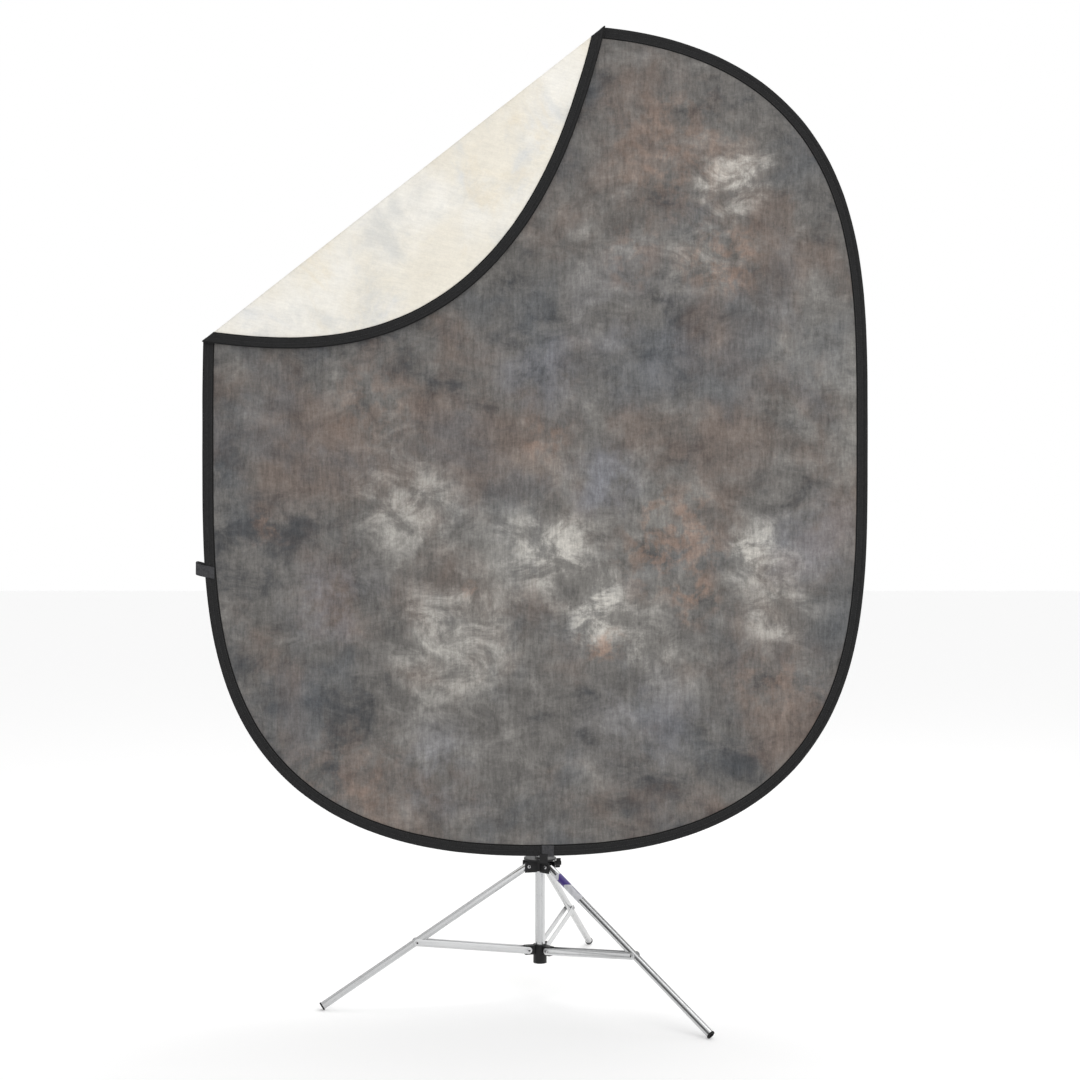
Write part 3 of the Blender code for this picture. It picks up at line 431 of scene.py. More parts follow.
# woven tape: reads tapeSpace, which is distance along, distance in from the edge, and depth
def makeTape(name):
    face, edge, ribs = tapes[name]["face"], tapes[name]["edge"], tapes[name]["ribs"]
    material, tree, shader = startMaterial(name)
    space = storedPlace(tree, "tapeSpace")
    inward = put(tree, "ShaderNodeSeparateXYZ", None, i0=space).outputs[1]
    # painted shade: the tape is darkened to near-black within 3.5 mm of its outer edge, where it rolls over the
    # rim, and of its inner edge, where it tucks against the cloth; the webbing's selvedges get the same painted
    # shade
    outer = remap(tree, inward, 0.0035, 0.001)
    inner = remap(tree, inward, tapeWidth - 0.0035, tapeWidth - 0.0012)
    rim = maths(tree, "MAXIMUM", outer, inner)
    weave = useGroup(tree, clothWeave, Place=space, Threads=ribs, Slub=0.3)
    lint = remap(tree, speckle(tree, space, 170.0, 6.0, 0.7), 0.52, 0.74, 0.0, 0.5)
    colour = blendColour(tree, remap(tree, weave.outputs["Shade"], 0.3, 0.7), rgb([c * 0.62 for c in face]),
                         rgb([c * 1.38 for c in face]))
    colour = blendColour(tree, lint, colour, rgb([c * 1.7 for c in face]))
    # the painted shade along both edges goes in here
    colour = blendColour(tree, times(tree, rim, 0.85), colour, rgb(edge))
    tree.links.new(colour, shader.inputs["Base Color"])
    shader.inputs["Roughness"].default_value = 0.82
    shader.inputs["Specular IOR Level"].default_value = 0.16
    shader.inputs["Sheen Weight"].default_value = 0.06
    shader.inputs["Sheen Roughness"].default_value = 0.45
    ribbed = bump(tree, weave.outputs["Height"], 0.5, 0.0005)
    puckers = speckle(tree, stretched(tree, space, (1, 0.4, 1)), 34.0, 3.0, 0.5)
    tree.links.new(bump(tree, puckers, 0.35, 0.0022, ribbed), shader.inputs["Normal"])
    return material


thread = {"dark": (0.016, 0.016, 0.017), "light": (0.052, 0.051, 0.05), "twist": 2600.0, "roughness": 0.7}


def makeThread():
    material, tree, shader = startMaterial("stitchThread")
    place = objectPlace(tree)
    twist = speckle(tree, place, thread["twist"], 2.0, 0.6)
    colour = blendColour(tree, remap(tree, twist, 0.35, 0.65), rgb(thread["dark"]), rgb(thread["light"]))
    tree.links.new(colour, shader.inputs["Base Color"])
    shader.inputs["Roughness"].default_value = thread["roughness"]
    tree.links.new(bump(tree, twist, 0.4, 0.0003), shader.inputs["Normal"])
    return material


metals = {
    "satinTube": {"tint": (0.60, 0.605, 0.61), "rough": 0.20},
    "pressedStrip": {"tint": (0.68, 0.685, 0.69), "rough": 0.32},
    "platedRivet": {"tint": (0.60, 0.60, 0.61), "rough": 0.24},
    "springSteel": {"tint": (0.42, 0.42, 0.43), "rough": 0.38},
}


# drawn metal: fine lines along partSpace's Z, with handling marks
def makeMetal(name):
    tint, rough = metals[name]["tint"], metals[name]["rough"]
    material, tree, shader = startMaterial(name)
    space = storedPlace(tree, "partSpace")
    drawn = speckle(tree, stretched(tree, space, (1, 1, 0.012)), 900.0, 4.0, 0.7)
    broad = speckle(tree, stretched(tree, space, (1, 1, 0.05)), 90.0, 3.0, 0.6)
    marks = useGroup(tree, handlingMarks, Place=space, Size=55.0)
    colour = blendColour(tree, remap(tree, broad, 0.3, 0.7), rgb([c * 0.90 for c in tint]), rgb(tint))
    colour = blendColour(tree, remap(tree, marks.outputs["Dust"], 0, 1, 0, 0.22, "LINEAR"), colour,
                         rgb([c * 0.72 for c in tint]))
    tree.links.new(colour, shader.inputs["Base Color"])
    shader.inputs["Metallic"].default_value = 1.0
    gloss = remap(tree, drawn, 0.3, 0.7, rough - 0.07, rough + 0.10, "LINEAR")
    gloss = plus(tree, gloss, remap(tree, marks.outputs["Dust"], 0, 1, 0, 0.12, "LINEAR"))
    tree.links.new(gloss, shader.inputs["Roughness"])
    lines = bump(tree, drawn, 0.12, 0.0003)
    tree.links.new(bump(tree, marks.outputs["Scratch"], 0.08, 0.0002, lines), shader.inputs["Normal"])
    return material


# inside is the colour of the painted shade in the rivet's hollow middle
hollowRivet = {"hollow": 0.0024, "rim": 0.0005, "plate": (0.66, 0.66, 0.67), "worn": (0.42, 0.42, 0.43),
               "inside": (0.02, 0.02, 0.02)}


# plated rivet with a rolled rim; its hollow middle is painted near-black and non-metallic, painted shade inside
# the hole
def makeTubularRivet():
    rivet = hollowRivet
    material, tree, shader = startMaterial("tubularRivet")
    space = storedPlace(tree, "partSpace")
    out = vectorMaths(tree, "LENGTH", vectorMaths(tree, "MULTIPLY", space, (1, 1, 0)), result="Value")
    hollow = remap(tree, out, rivet["hollow"], rivet["hollow"] - rivet["rim"])
    marks = useGroup(tree, handlingMarks, Place=space, Size=90.0)
    plate = blendColour(tree, marks.outputs["Dust"], rgb(rivet["plate"]), rgb(rivet["worn"]))
    # painted shade: the hollow middle is laid in near-black instead of plated metal
    tree.links.new(blendColour(tree, hollow, plate, rgb(rivet["inside"])), shader.inputs["Base Color"])
    tree.links.new(maths(tree, "SUBTRACT", 1.0, hollow), shader.inputs["Metallic"])
    gloss = remap(tree, marks.outputs["Grain"], 0.3, 0.7, 0.20, 0.34, "LINEAR")
    tree.links.new(gloss, shader.inputs["Roughness"])
    rolled = remap(tree, out, rivet["hollow"] - rivet["rim"], rivet["hollow"] + 0.0001)
    tree.links.new(bump(tree, rolled, 0.8, 0.0006), shader.inputs["Normal"])
    return material


mouldings = {
    "mouldedBlack": {"base": (0.006, 0.006, 0.0065), "rough": 0.40, "grain": 0.25},
    "rubberBlack": {"base": (0.006, 0.006, 0.006), "rough": 0.70, "grain": 0.4},
    "hookPad": {"base": (0.02, 0.02, 0.02), "rough": 0.95, "grain": 1.0},
}


def makeMoulded(name):
    base, rough, grain = mouldings[name]["base"], mouldings[name]["rough"], mouldings[name]["grain"]
    material, tree, shader = startMaterial(name)
    place = objectPlace(tree)
    marks = useGroup(tree, handlingMarks, Place=place, Size=70.0)
    colour = blendColour(tree, remap(tree, marks.outputs["Dust"], 0, 1, 0, 0.35, "LINEAR"), rgb(base),
                         rgb([c * 1.9 + 0.006 for c in base]))
    colour = blendColour(tree, remap(tree, marks.outputs["Scratch"], 0, 1, 0, 0.35, "LINEAR"), colour,
                         rgb([c * 2.2 + 0.03 for c in base]))
    tree.links.new(colour, shader.inputs["Base Color"])
    shader.inputs["Specular IOR Level"].default_value = 0.28
    grained = remap(tree, marks.outputs["Grain"], 0.3, 0.7, rough - 0.06, rough + 0.06, "LINEAR")
    gloss = plus(tree, grained, remap(tree, marks.outputs["Dust"], 0, 1, 0, 0.15, "LINEAR"))
    tree.links.new(gloss, shader.inputs["Roughness"])
    tree.links.new(bump(tree, marks.outputs["Grain"], grain, 0.0003), shader.inputs["Normal"])
    return material


wrapLabel = {"film": (0.50, 0.50, 0.53), "filmLight": (0.62, 0.62, 0.65), "oval": (0.055, 0.032, 0.19),
             "rule": (0.20, 0.19, 0.26), "ovalAlong": 0.053, "ovalSide": -0.0005, "ovalHalfLong": 0.019,
             "ovalHalfWide": 0.0105, "ruleAlong": 0.093, "ruleHalfLong": 0.0150, "ruleHalfWide": 0.0016}


# a plain wrap: pale film with one solid violet-blue oval and a grey rule, no lettering
def makeLabel():
    wrap = wrapLabel
    material, tree, shader = startMaterial("plainWrapLabel")
    space = storedPlace(tree, "partSpace")
    parts = put(tree, "ShaderNodeSeparateXYZ", None, i0=space)
    along, sideways = parts.outputs[2], parts.outputs[1]
    long = times(tree, maths(tree, "SUBTRACT", along, wrap["ovalAlong"]), 1 / wrap["ovalHalfLong"])
    wide = times(tree, maths(tree, "SUBTRACT", sideways, wrap["ovalSide"]), 1 / wrap["ovalHalfWide"])
    oval = remap(tree, plus(tree, times(tree, long, long), times(tree, wide, wide)), 1.05, 0.95)
    ruleAlong = maths(tree, "ABSOLUTE", maths(tree, "SUBTRACT", along, wrap["ruleAlong"]))
    ruleEnds = remap(tree, ruleAlong, wrap["ruleHalfLong"], wrap["ruleHalfLong"] - 0.0005)
    ruleSides = remap(tree, maths(tree, "ABSOLUTE", sideways), wrap["ruleHalfWide"],
                      wrap["ruleHalfWide"] - 0.0003)
    rule = times(tree, ruleEnds, ruleSides)
    film = speckle(tree, space, 120.0, 4.0, 0.6)
    colour = blendColour(tree, remap(tree, film, 0.3, 0.7), rgb(wrap["film"]), rgb(wrap["filmLight"]))
    colour = blendColour(tree, oval, colour, rgb(wrap["oval"]))
    colour = blendColour(tree, times(tree, rule, 0.75), colour, rgb(wrap["rule"]))
    tree.links.new(colour, shader.inputs["Base Color"])
    shader.inputs["Roughness"].default_value = 0.33
    tree.links.new(bump(tree, film, 0.1, 0.0003), shader.inputs["Normal"])
    return material


greyCloth = makeGreyMuslin()
creamCloth = makeCreamMuslin()
tapeCloth = makeTape("blackEdgeTape")
webCloth = makeTape("blackWebbing")
threadBlack = makeThread()
tubeSilver = makeMetal("satinTube")
stripSilver = makeMetal("pressedStrip")
rivetBright = makeMetal("platedRivet")
springSteel = makeMetal("springSteel")
rivetHollow = makeTubularRivet()
mouldedBlack = makeMoulded("mouldedBlack")
rubberBlack = makeMoulded("rubberBlack")
padFuzz = makeMoulded("hookPad")
labelFilm = makeLabel()
print("materials ready")


# the rim's outline

def signedPower(value, power):
    return math.copysign(abs(value) ** power, value)


# closed points round the rim, (x, z) from the panel's middle; the flap's own rim is flatter past the crease
def outline(steps, flapSide):
    points = []
    for i in range(steps):
        turn = 2 * math.pi * i / steps
        x = halfWide * signedPower(math.cos(turn), 2 / panel["roundWide"])
        z = halfTall * signedPower(math.sin(turn), 2 / panel["roundTall"])
        beyond = x * foldOut.x + z * foldOut.z - foldAway
        if flapSide:
            x += foldOut.x * beyond * (panel["flapFlatten"] - 1)
            z += foldOut.z * beyond * (panel["flapFlatten"] - 1)
        points.append(Vector((x, z)))
    return points


def insetLine(points, depth):
    moved = []
    for i, point in enumerate(points):
        run = points[(i + 1) % len(points)] - points[i - 1]
        run.normalize()
        moved.append(point + Vector((-run.y, run.x)) * depth)
    return moved


# the length run so far at each point of a line
def runningLength(points):
    runs = [0.0]
    for a, b in zip(points, points[1:]):
        runs.append(runs[-1] + (b - a).length)
    return runs


def pastCrease(point):
    return point.x * foldOut.x + point.y * foldOut.z - foldAway


# the stretch of a closed line on one side of the crease (wanted is -1 or 1), as count even points
def cutLine(points, wanted, count):
    size = len(points)
    inside = [pastCrease(p) * wanted >= 0 for p in points]
    first = next(i for i in range(size) if inside[i] and not inside[i - 1])
    stretch = []

    def crossing(a, b):
        sa, sb = pastCrease(a), pastCrease(b)
        return a.lerp(b, sa / (sa - sb))

    stretch.append(crossing(points[first - 1], points[first]))
    at = first
    while inside[at % size]:
        stretch.append(points[at % size])
        at += 1
    stretch.append(crossing(points[at % size - 1], points[at % size]))
    runs = runningLength(stretch)
    even, here = [], 0
    for i in range(count):
        want = runs[-1] * i / (count - 1)
        while here < len(runs) - 2 and runs[here + 1] < want:
            here += 1
        share = (want - runs[here]) / max(runs[here + 1] - runs[here], 1e-9)
        even.append(stretch[here].lerp(stretch[here + 1], min(max(share, 0), 1)))
    return even


mainRim = outline(2400, False)
flapRim = outline(2400, True)


def inPanel(point, depth):
    return centre + Vector((point.x, depth, point.y))


# a point of the unfolded corner, carried over the crease to where it lies folded
def onFlap(point, depth):
    flat = centre + Vector((point.x, 0, point.y)) - foldPoint
    flat.y = 0
    behind = Vector((0, foldRadius + depth, 0))
    return foldPoint + foldDir * flat.dot(foldDir) - foldOut * flat.dot(foldOut) - behind


# a pressed crease: as deep as the fold is, but hardly standing out past its line
def roundCrease(along, depth, turn):
    reach = foldRadius + depth
    out = creaseBulge * reach / foldRadius * math.sin(turn)
    return foldPoint + foldDir * along + foldOut * out + Vector((0, reach * math.cos(turn), 0))


# edge tape, one sewn tube of tape that runs round the panel, over the crease and round the flap

edgeTape = {
    "mainSteps": 420, "flapSteps": 132, "creaseSteps": 10, "wave": 0.0007, "waveLength": 0.11,
    "pressedHalf": 0.0036, "fullHalf": 0.0050, "pressRun": 0.060, "turnFrom": 0.00505, "turnTo": 0.00535,
    "waveReach": 0.008, "innerWaveFrom": 0.017,
    "section": [(0.0250, 0.0019), (0.0247, 0.0026), (0.0238, 0.0029), (0.0226, 0.0028), (0.0212, 0.0023),
                (0.0198, 0.0025), (0.0160, 0.0026), (0.0128, 0.0025), (0.0112, 0.0022), (0.0094, 0.0030),
                (0.0075, 0.0043), (0.0058, 0.0048), (0.0038, 0.0049), (0.0020, 0.0044), (0.0008, 0.0034),
                (0.0001, 0.0016)],
}


# rings of points right round the tape, with each ring's (distance along, inward, depth)
def tapeRings(section):
    mainSteps, flapSteps, creaseSteps = edgeTape["mainSteps"], edgeTape["flapSteps"], edgeTape["creaseSteps"]
    mainLines = {inward: cutLine(insetLine(mainRim, inward), -1, mainSteps) for inward, depth in section}
    flapLines = {inward: cutLine(insetLine(flapRim, inward), 1, flapSteps) for inward, depth in section}
    rings, spaces, run = [], [], 0.0

    def along(point):
        return (centre + Vector((point.x, 0, point.y)) - foldPoint).dot(foldDir)

    # the tape lies flatter the nearer it is to the crease
    def pressed(depth, distance):
        share = min(1.0, distance / edgeTape["pressRun"])
        limit = edgeTape["pressedHalf"] + (edgeTape["fullHalf"] - edgeTape["pressedHalf"]) * share
        return math.copysign(min(abs(depth), limit), depth)

    def addRing(points, distance):
        rings.append(points)
        spaces.append([(distance, inward, depth) for inward, depth in section])

    def bridge(fromLines, fromAt, toLines, toAt, startTurn, endTurn):
        nonlocal run
        for k in range(1, creaseSteps):
            share = k / creaseSteps
            turn = startTurn + (endTurn - startTurn) * share
            ring = []
            for inward, depth in section:
                a = along(fromLines[inward][fromAt]) * (1 - share) + along(toLines[inward][toAt]) * share
                ring.append(roundCrease(a, pressed(depth, 0), turn))
            run += creaseRun / creaseSteps
            addRing(ring, run)

    mainLength = runningLength(mainLines[section[0][0]])[-1]
    flapLength = runningLength(flapLines[section[0][0]])[-1]
    for k in range(mainSteps):
        away = min(k, mainSteps - 1 - k) * mainLength / mainSteps
        addRing([inPanel(mainLines[inward][k], pressed(depth, away)) for inward, depth in section], run)
        run += mainLength / mainSteps
    bridge(mainLines, -1, flapLines, 0, 0.0, math.pi)
    for k in range(flapSteps):
        away = min(k, flapSteps - 1 - k) * flapLength / flapSteps
        addRing([onFlap(flapLines[inward][k], pressed(depth, away)) for inward, depth in section], run)
        run += flapLength / flapSteps
    bridge(flapLines, -1, mainLines, 0, math.pi, 0.0)
    return rings, spaces, run


# skins a closed run of rings into one tube
def ringMesh(name, rings, spaces):
    mesh = bpy.data.meshes.new(name)
    across = len(rings[0])
    points = [p for ring in rings for p in ring]
    faces = []
    for k in range(len(rings)):
        here, there = k * across, (k + 1) % len(rings) * across
        for j in range(across):
            n = (j + 1) % across
            faces.append((here + j, here + n, there + n, there + j))
    mesh.from_pydata(points, [], faces)
    storePlaces(mesh, "tapeSpace", [space for ring in spaces for space in ring])
    return facedOut(addObject(name, mesh))


def makeEdgeTape():
    front = edgeTape["section"]
    section = front + [(inward, -depth) for inward, depth in reversed(front)]
    rings, spaces, total = tapeRings(section)
    for ring, space in zip(rings, spaces):
        slow = noise.noise(Vector((space[0][0] / edgeTape["waveLength"], 3.7, 1.1))) * edgeTape["wave"]
        inner = noise.noise(Vector((space[0][0] / edgeTape["waveLength"] * 2.2, 9.1, 4.4))) * edgeTape["wave"]
        middle = sum(ring, Vector()) / len(ring)
        for j, (distance, inward, depth) in enumerate(space):
            away = ring[j] - middle
            away.y = 0
            if away.length < 1e-6:
                continue
            share = (slow * max(0, 1 - inward / edgeTape["waveReach"])
                     + inner * max(0, (inward - edgeTape["innerWaveFrom"]) / edgeTape["waveReach"]))
            ring[j] = ring[j] - away.normalized() * abs(share)
    tape = ringMesh("edgeTape", rings, spaces)
    wear(tape, tapeCloth)
    smoothEdges(tape, 60)
    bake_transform(tape, "panel", "flap", start=(centre.x, centre.y - edgeTape["turnFrom"], centre.z),
             end=(centre.x, centre.y - edgeTape["turnTo"], centre.z))
    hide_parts("binding", "flap_binding")
    return tape, total


tape, tapeTotal = makeEdgeTape()
print("edge tape:", round(tapeTotal, 3), "m round")

stitching = {"pitch": 0.0052, "length": 0.0034, "wide": 0.0007, "high": 0.0004, "taper": 0.0005,
             "rows": [(0.0212, 0.00235), (0.0112, 0.00225)]}
stitchFaces = [(0, 3, 5, 4), (2, 1, 4, 5), (1, 0, 4), (3, 2, 5), (0, 1, 2, 3)]


# short rounded stitches, each from its two ends and the way that it stands out of the tape
def stitchRow(ends, lifts, name):
    mesh = bpy.data.meshes.new(name)
    verts, faces = [], []
    for (a, b), out in zip(ends, lifts):
        run = (b - a).normalized()
        side = run.cross(out).normalized() * stitching["wide"] / 2
        up = out * stitching["high"]
        base = len(verts)
        verts += [a - side, a + side, b + side, b - side,
                  a + run * stitching["taper"] + up, b - run * stitching["taper"] + up]
        faces += [tuple(base + corner for corner in face) for face in stitchFaces]
    mesh.from_pydata(verts, [], faces)
    obj = facedOut(addObject(name, mesh))
    wear(obj, threadBlack)
    return obj


def makeStitches():
    for body, rim, wanted, place in (("panel", mainRim, -1, inPanel), ("flap", flapRim, 1, onFlap)):
        pairs, lifts = [], []
        for inward, height in stitching["rows"]:
            line = insetLine(rim, inward)
            length = runningLength(cutLine(line, wanted, 50))[-1]
            even = cutLine(line, wanted, int(length / stitching["pitch"]))
            for face in (-1, 1):
                for a, b in zip(even[2:-2], even[3:-1]):
                    share = stitching["length"] / stitching["pitch"]
                    p = place(a, face * height)
                    q = place(a.lerp(b, share), face * height)
                    pairs.append((p, q))
                    way = face if body == "panel" else -face
                    lifts.append(Vector((0, way, 0)))
        obj = stitchRow(pairs, lifts, "tapeStitches" + body.capitalize())
        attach(obj, body)


makeStitches()
print("stitches sewn")


# the two muslin faces, each one stretched sheet folded over at the crease

muslin = {"cells": 96, "tuck": 0.0135, "thick": 0.0007, "ripple": 0.00032, "creaseSteps": 12,
          "creaseHalf": 0.0040, "squareness": 0.80, "gap": 0.00085, "frontTurnHalf": 0.0034,
          "backTurnHalf": 0.0050}


# the cloth turns back over itself in a half circle that starts and ends creaseHalf short of the fold's line
def foldOver(obj):
    half = muslin["creaseHalf"]
    for vertex in obj.data.vertices:
        rel = vertex.co - foldPoint
        past = rel.dot(foldOut)
        if past <= -half:
            continue
        reach = foldRadius + vertex.co.y - centre.y
        turn = min((past + half) / (2 * half), 1.0) * math.pi
        out = reach * math.sin(turn) - max(past, half)
        deep = Vector((0, reach * math.cos(turn), 0))
        vertex.co = foldPoint + foldDir * rel.dot(foldDir) + foldOut * out + deep


# a function that gives the point at a share of the cloth's closed edge, as it is tucked under the tape
def clothEdge():
    mainEdge = insetLine(mainRim, muslin["tuck"])
    flapEdge = insetLine(flapRim, muslin["tuck"])
    edge = [f if pastCrease(a) > 0 else a for a, f in zip(mainEdge, flapEdge)]
    runs = runningLength(edge + edge[:1])

    def edgeAt(share):
        want = (share % 1.0) * runs[-1]
        low, high = 0, len(edge)
        while high - low > 1:
            mid = (low + high) // 2
            if runs[mid] <= want:
                low = mid
            else:
                high = mid
        part = (want - runs[low]) / max(runs[low + 1] - runs[low], 1e-9)
        return edge[low].lerp(edge[(low + 1) % len(edge)], part)

    return edgeAt


# pushes a square grid out to the cloth's edge: square in the middle, round at the rim
def spreadGrid(sheet):
    edgeAt = clothEdge()
    for vertex in sheet.data.vertices:
        u, v = vertex.co.x, vertex.co.y
        ring = max(abs(u), abs(v))
        if ring < 1e-6:
            place = Vector((0, 0))
        else:
            if abs(u) >= abs(v):
                share = (v / abs(u)) / 8 if u > 0 else 0.5 - (v / abs(u)) / 8
            else:
                share = 0.25 - (u / abs(v)) / 8 if v > 0 else 0.75 + (u / abs(v)) / 8
            square = Vector((u * halfWide, v * halfTall)) * muslin["squareness"]
            place = square.lerp(edgeAt(share) * ring, ring ** 3)
        vertex.co = centre + Vector((place.x, 0, place.y))


# cuts the lines that the cloth bends on
def cutCrease(sheet):
    onlyThis(sheet)
    bpy.ops.object.mode_set(mode="EDIT")
    for k in range(muslin["creaseSteps"] + 1):
        bpy.ops.mesh.select_all(action="SELECT")
        reach = muslin["creaseHalf"] * (2 * k / muslin["creaseSteps"] - 1)
        bpy.ops.mesh.bisect(plane_co=foldPoint + foldOut * reach, plane_no=foldOut)
    bpy.ops.object.mode_set(mode="OBJECT")


# slight ripples all over, and small gathers towards the tape
def ripple(sheet, depth):
    for vertex in sheet.data.vertices:
        x, z = vertex.co.x - centre.x, vertex.co.z - centre.z
        edgeShare = min(1.0, (abs(x) / halfWide) ** 4 + (abs(z) / halfTall) ** 4)
        broad = noise.noise(Vector((x * 9, z * 9, 0.3)))
        small = noise.noise(Vector((x * 23, z * 17, 5.1)))
        pull = broad * 0.6 + small * 0.4
        angle = math.atan2(z, x)
        gathers = math.sin(angle * 60 + 3 * noise.noise(Vector((angle * 3, 0, 2)))) * edgeShare ** 2
        vertex.co.y = centre.y + depth + muslin["ripple"] * (pull * 0.8 + gathers * 0.7)


def makeSheet(name, depth, material, node, flapNode, turnHalf):
    bpy.ops.object.select_all(action="DESELECT")
    bpy.ops.mesh.primitive_grid_add(x_subdivisions=muslin["cells"], y_subdivisions=muslin["cells"], size=2)
    sheet = bpy.context.object
    sheet.name = name
    spreadGrid(sheet)
    cutCrease(sheet)
    ripple(sheet, depth)
    thicken(sheet, muslin["thick"])
    applyAll(sheet)
    storePlaces(sheet.data, "clothSpace", [vertex.co - centre for vertex in sheet.data.vertices])
    foldOver(sheet)
    facedOut(sheet)
    wear(sheet, material)
    smoothEdges(sheet, 50)
    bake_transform(sheet, "panel", "flap", start=(centre.x, foldPoint.y + turnHalf, centre.z),
             end=(centre.x, foldPoint.y - turnHalf, centre.z))
    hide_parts(node, flapNode)
    return sheet


frontSheet = makeSheet("muslinFront", -muslin["gap"], greyCloth, "front_fabric", "flap_front_fabric",
                       muslin["frontTurnHalf"])
backSheet = makeSheet("muslinBack", muslin["gap"], creamCloth, "back_fabric", "flap_back_fabric",
                      muslin["backTurnHalf"])
print("muslin stretched")


# webbing

webbing = {
    "thick": 0.0014, "cells": 8, "selvedge": 0.0004, "weaveWide": 0.021, "leanFrom": 0.004,
    "sideReach": 0.0165, "sideWide": 0.026, "sideLean": 0.26, "sideSkew": 0.35, "bottomWide": 0.027,
    "rimInset": 0.0005, "turnBack": 0.0012, "turnHalf": 0.0066, "turnNose": 0.0016,
    "sideHalf": [(0.0240, 0.0035), (0.0125, 0.0038), (0.0080, 0.0060), (0.0020, 0.0065), (-0.006, 0.0075)],
    "bottomHalf": [(0.0240, 0.0035), (0.0125, 0.0036), (0.0080, 0.0058), (0.0015, 0.0060), (-0.0009, 0.0040)],
}


# woven strip run along (x, y) points of a frame, its width along Z, with rounded selvedges
def webStrip(name, path, wide, place, node, lean=0.0, skew=0.0):
    cells, across = webbing["cells"], webbing["cells"] + 1
    points, spaces, faces = [], [], []
    for (x, y), run in zip(path, runningLength([Vector(point) for point in path])):
        for k in range(across):
            share = k / cells - 0.5
            points.append(place @ Vector((x, y, share * wide - lean * (x - webbing["leanFrom"]) + skew * y)))
            spaces.append((run, tapeWidth / 2 + share * webbing["weaveWide"], 0))
    for i in range(len(path) - 1):
        for k in range(cells):
            faces.append((i * across + k, i * across + k + 1, (i + 1) * across + k + 1, (i + 1) * across + k))
    mesh = bpy.data.meshes.new(name)
    mesh.from_pydata(points, [], faces)
    storePlaces(mesh, "tapeSpace", spaces)
    strip = addObject(name, mesh)
    thicken(strip, webbing["thick"])
    breakEdges(strip, webbing["selvedge"], 2)
    applyAll(strip)
    facedOut(strip)
    wear(strip, webCloth)
    smoothEdges(strip, 50)
    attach(strip, "panel")
    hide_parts(node)


# rounds a path's corners by corner cutting
def easePath(points, steps):
    for _ in range(steps):
        cut = [points[0]]
        for a, b in zip(points, points[1:]):
            cut.append((a[0] * 0.75 + b[0] * 0.25, a[1] * 0.75 + b[1] * 0.25))
            cut.append((a[0] * 0.25 + b[0] * 0.75, a[1] * 0.25 + b[1] * 0.75))
        cut.append(points[-1])
        points = cut
    return points


# a strip's path down one face and back up the other, round the points of its turn
def mirrored(half, turn=()):
    return half + list(turn) + [(x, -y) for x, y in reversed(half)]


def makeSideLoop():
    low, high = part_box("side_loop")
    rimX = low.x + webbing["sideReach"] - webbing["rimInset"]
    outer = webbing["turnBack"] - webbing["sideReach"]
    half = webbing["sideHalf"] + [(outer, webbing["turnHalf"])]
    path = mirrored(half, [(outer - webbing["turnNose"], 0.0)])
    place = Matrix.Translation((rimX, centre.y, (low.z + high.z) / 2))
    webStrip("sideLoop", easePath(path, 2), webbing["sideWide"], place, "side_loop", webbing["sideLean"],
             webbing["sideSkew"])


def makeBottomLoop():
    low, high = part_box("bottom_loop")
    upright = Matrix.Rotation(math.radians(-90), 4, "Y")
    place = Matrix.Translation(((low.x + high.x) / 2, centre.y, tapeLow.z)) @ upright
    path = easePath(mirrored(webbing["bottomHalf"]), 2)
    webStrip("bottomLoop", path, webbing["bottomWide"], place, "bottom_loop")


makeSideLoop()
makeBottomLoop()
print("webbing sewn on")


# metal and moulded parts: each CAD shape again, welded, with its edges broken

standEdges = {"tube": 0.0002, "steel": 0.0003, "strip": 0.0004, "moulding": 0.0007, "knob": 0.0008,
              "soft": 0.0005, "angle": 40}


# stores each point's place in the part's own frame, Z along its axis
def partSpace(obj, origin, axis):
    z = Vector(axis).normalized()
    side = Vector((0, 0, 1)) if abs(z.z) < 0.9 else Vector((1, 0, 0))
    x = (side - z * side.dot(z)).normalized()
    turn = Matrix((x, z.cross(x), z))
    storePlaces(obj.data, "partSpace", [turn @ (vertex.co - Vector(origin)) for vertex in obj.data.vertices])


# a CAD part's own shape again, with its edges broken by a bevel and a finish on it
def refine(nodeName, material, bevel, segments, axis=(0, 0, 1), origin=(0, 0, 0)):
    source = nodes[nodeName]
    newName = camel(nodeName)
    obj = source.copy()
    obj.data = source.data.copy()
    obj.name = newName
    obj.data.name = newName
    obj.parent = None
    obj.matrix_world = Matrix.Identity(4)
    for key in list(obj.keys()):
        del obj[key]
    bpy.context.scene.collection.objects.link(obj)
    for layer in [a.name for a in obj.data.attributes if a.name.startswith("custom")]:
        obj.data.attributes.remove(obj.data.attributes[layer])
    onlyThis(obj)
    bpy.ops.object.mode_set(mode="EDIT")
    bpy.ops.mesh.select_all(action="SELECT")
    bpy.ops.mesh.remove_doubles(threshold=0.00001)
    bpy.ops.mesh.dissolve_limited(angle_limit=math.radians(1.0))
    bpy.ops.mesh.normals_make_consistent(inside=False)
    bpy.ops.object.mode_set(mode="OBJECT")
    if bevel:
        breakEdges(obj, bevel, segments).angle_limit = math.radians(standEdges["angle"])
        applyAll(obj)
    partSpace(obj, origin, axis)
    wear(obj, material)
    smoothEdges(obj, standEdges["angle"])
    record = frame["record"]
    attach(obj, next(body for body, held in record["behaviour"]["bodies"].items() if nodeName in held))
    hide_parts(nodeName)


def camel(name):
    parts = name.split("_")
    return parts[0] + "".join(p.capitalize() for p in parts[1:])


def middleOf(node):
    low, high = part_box(node)
    return (low + high) / 2


# the way a leg points, from its pivot to its foot
def legWay(number):
    pivot = Vector(joints["leg_%d_fold" % number]["pos_m"])
    return pivot, (middleOf("foot_cap_%d" % number) - pivot).normalized()


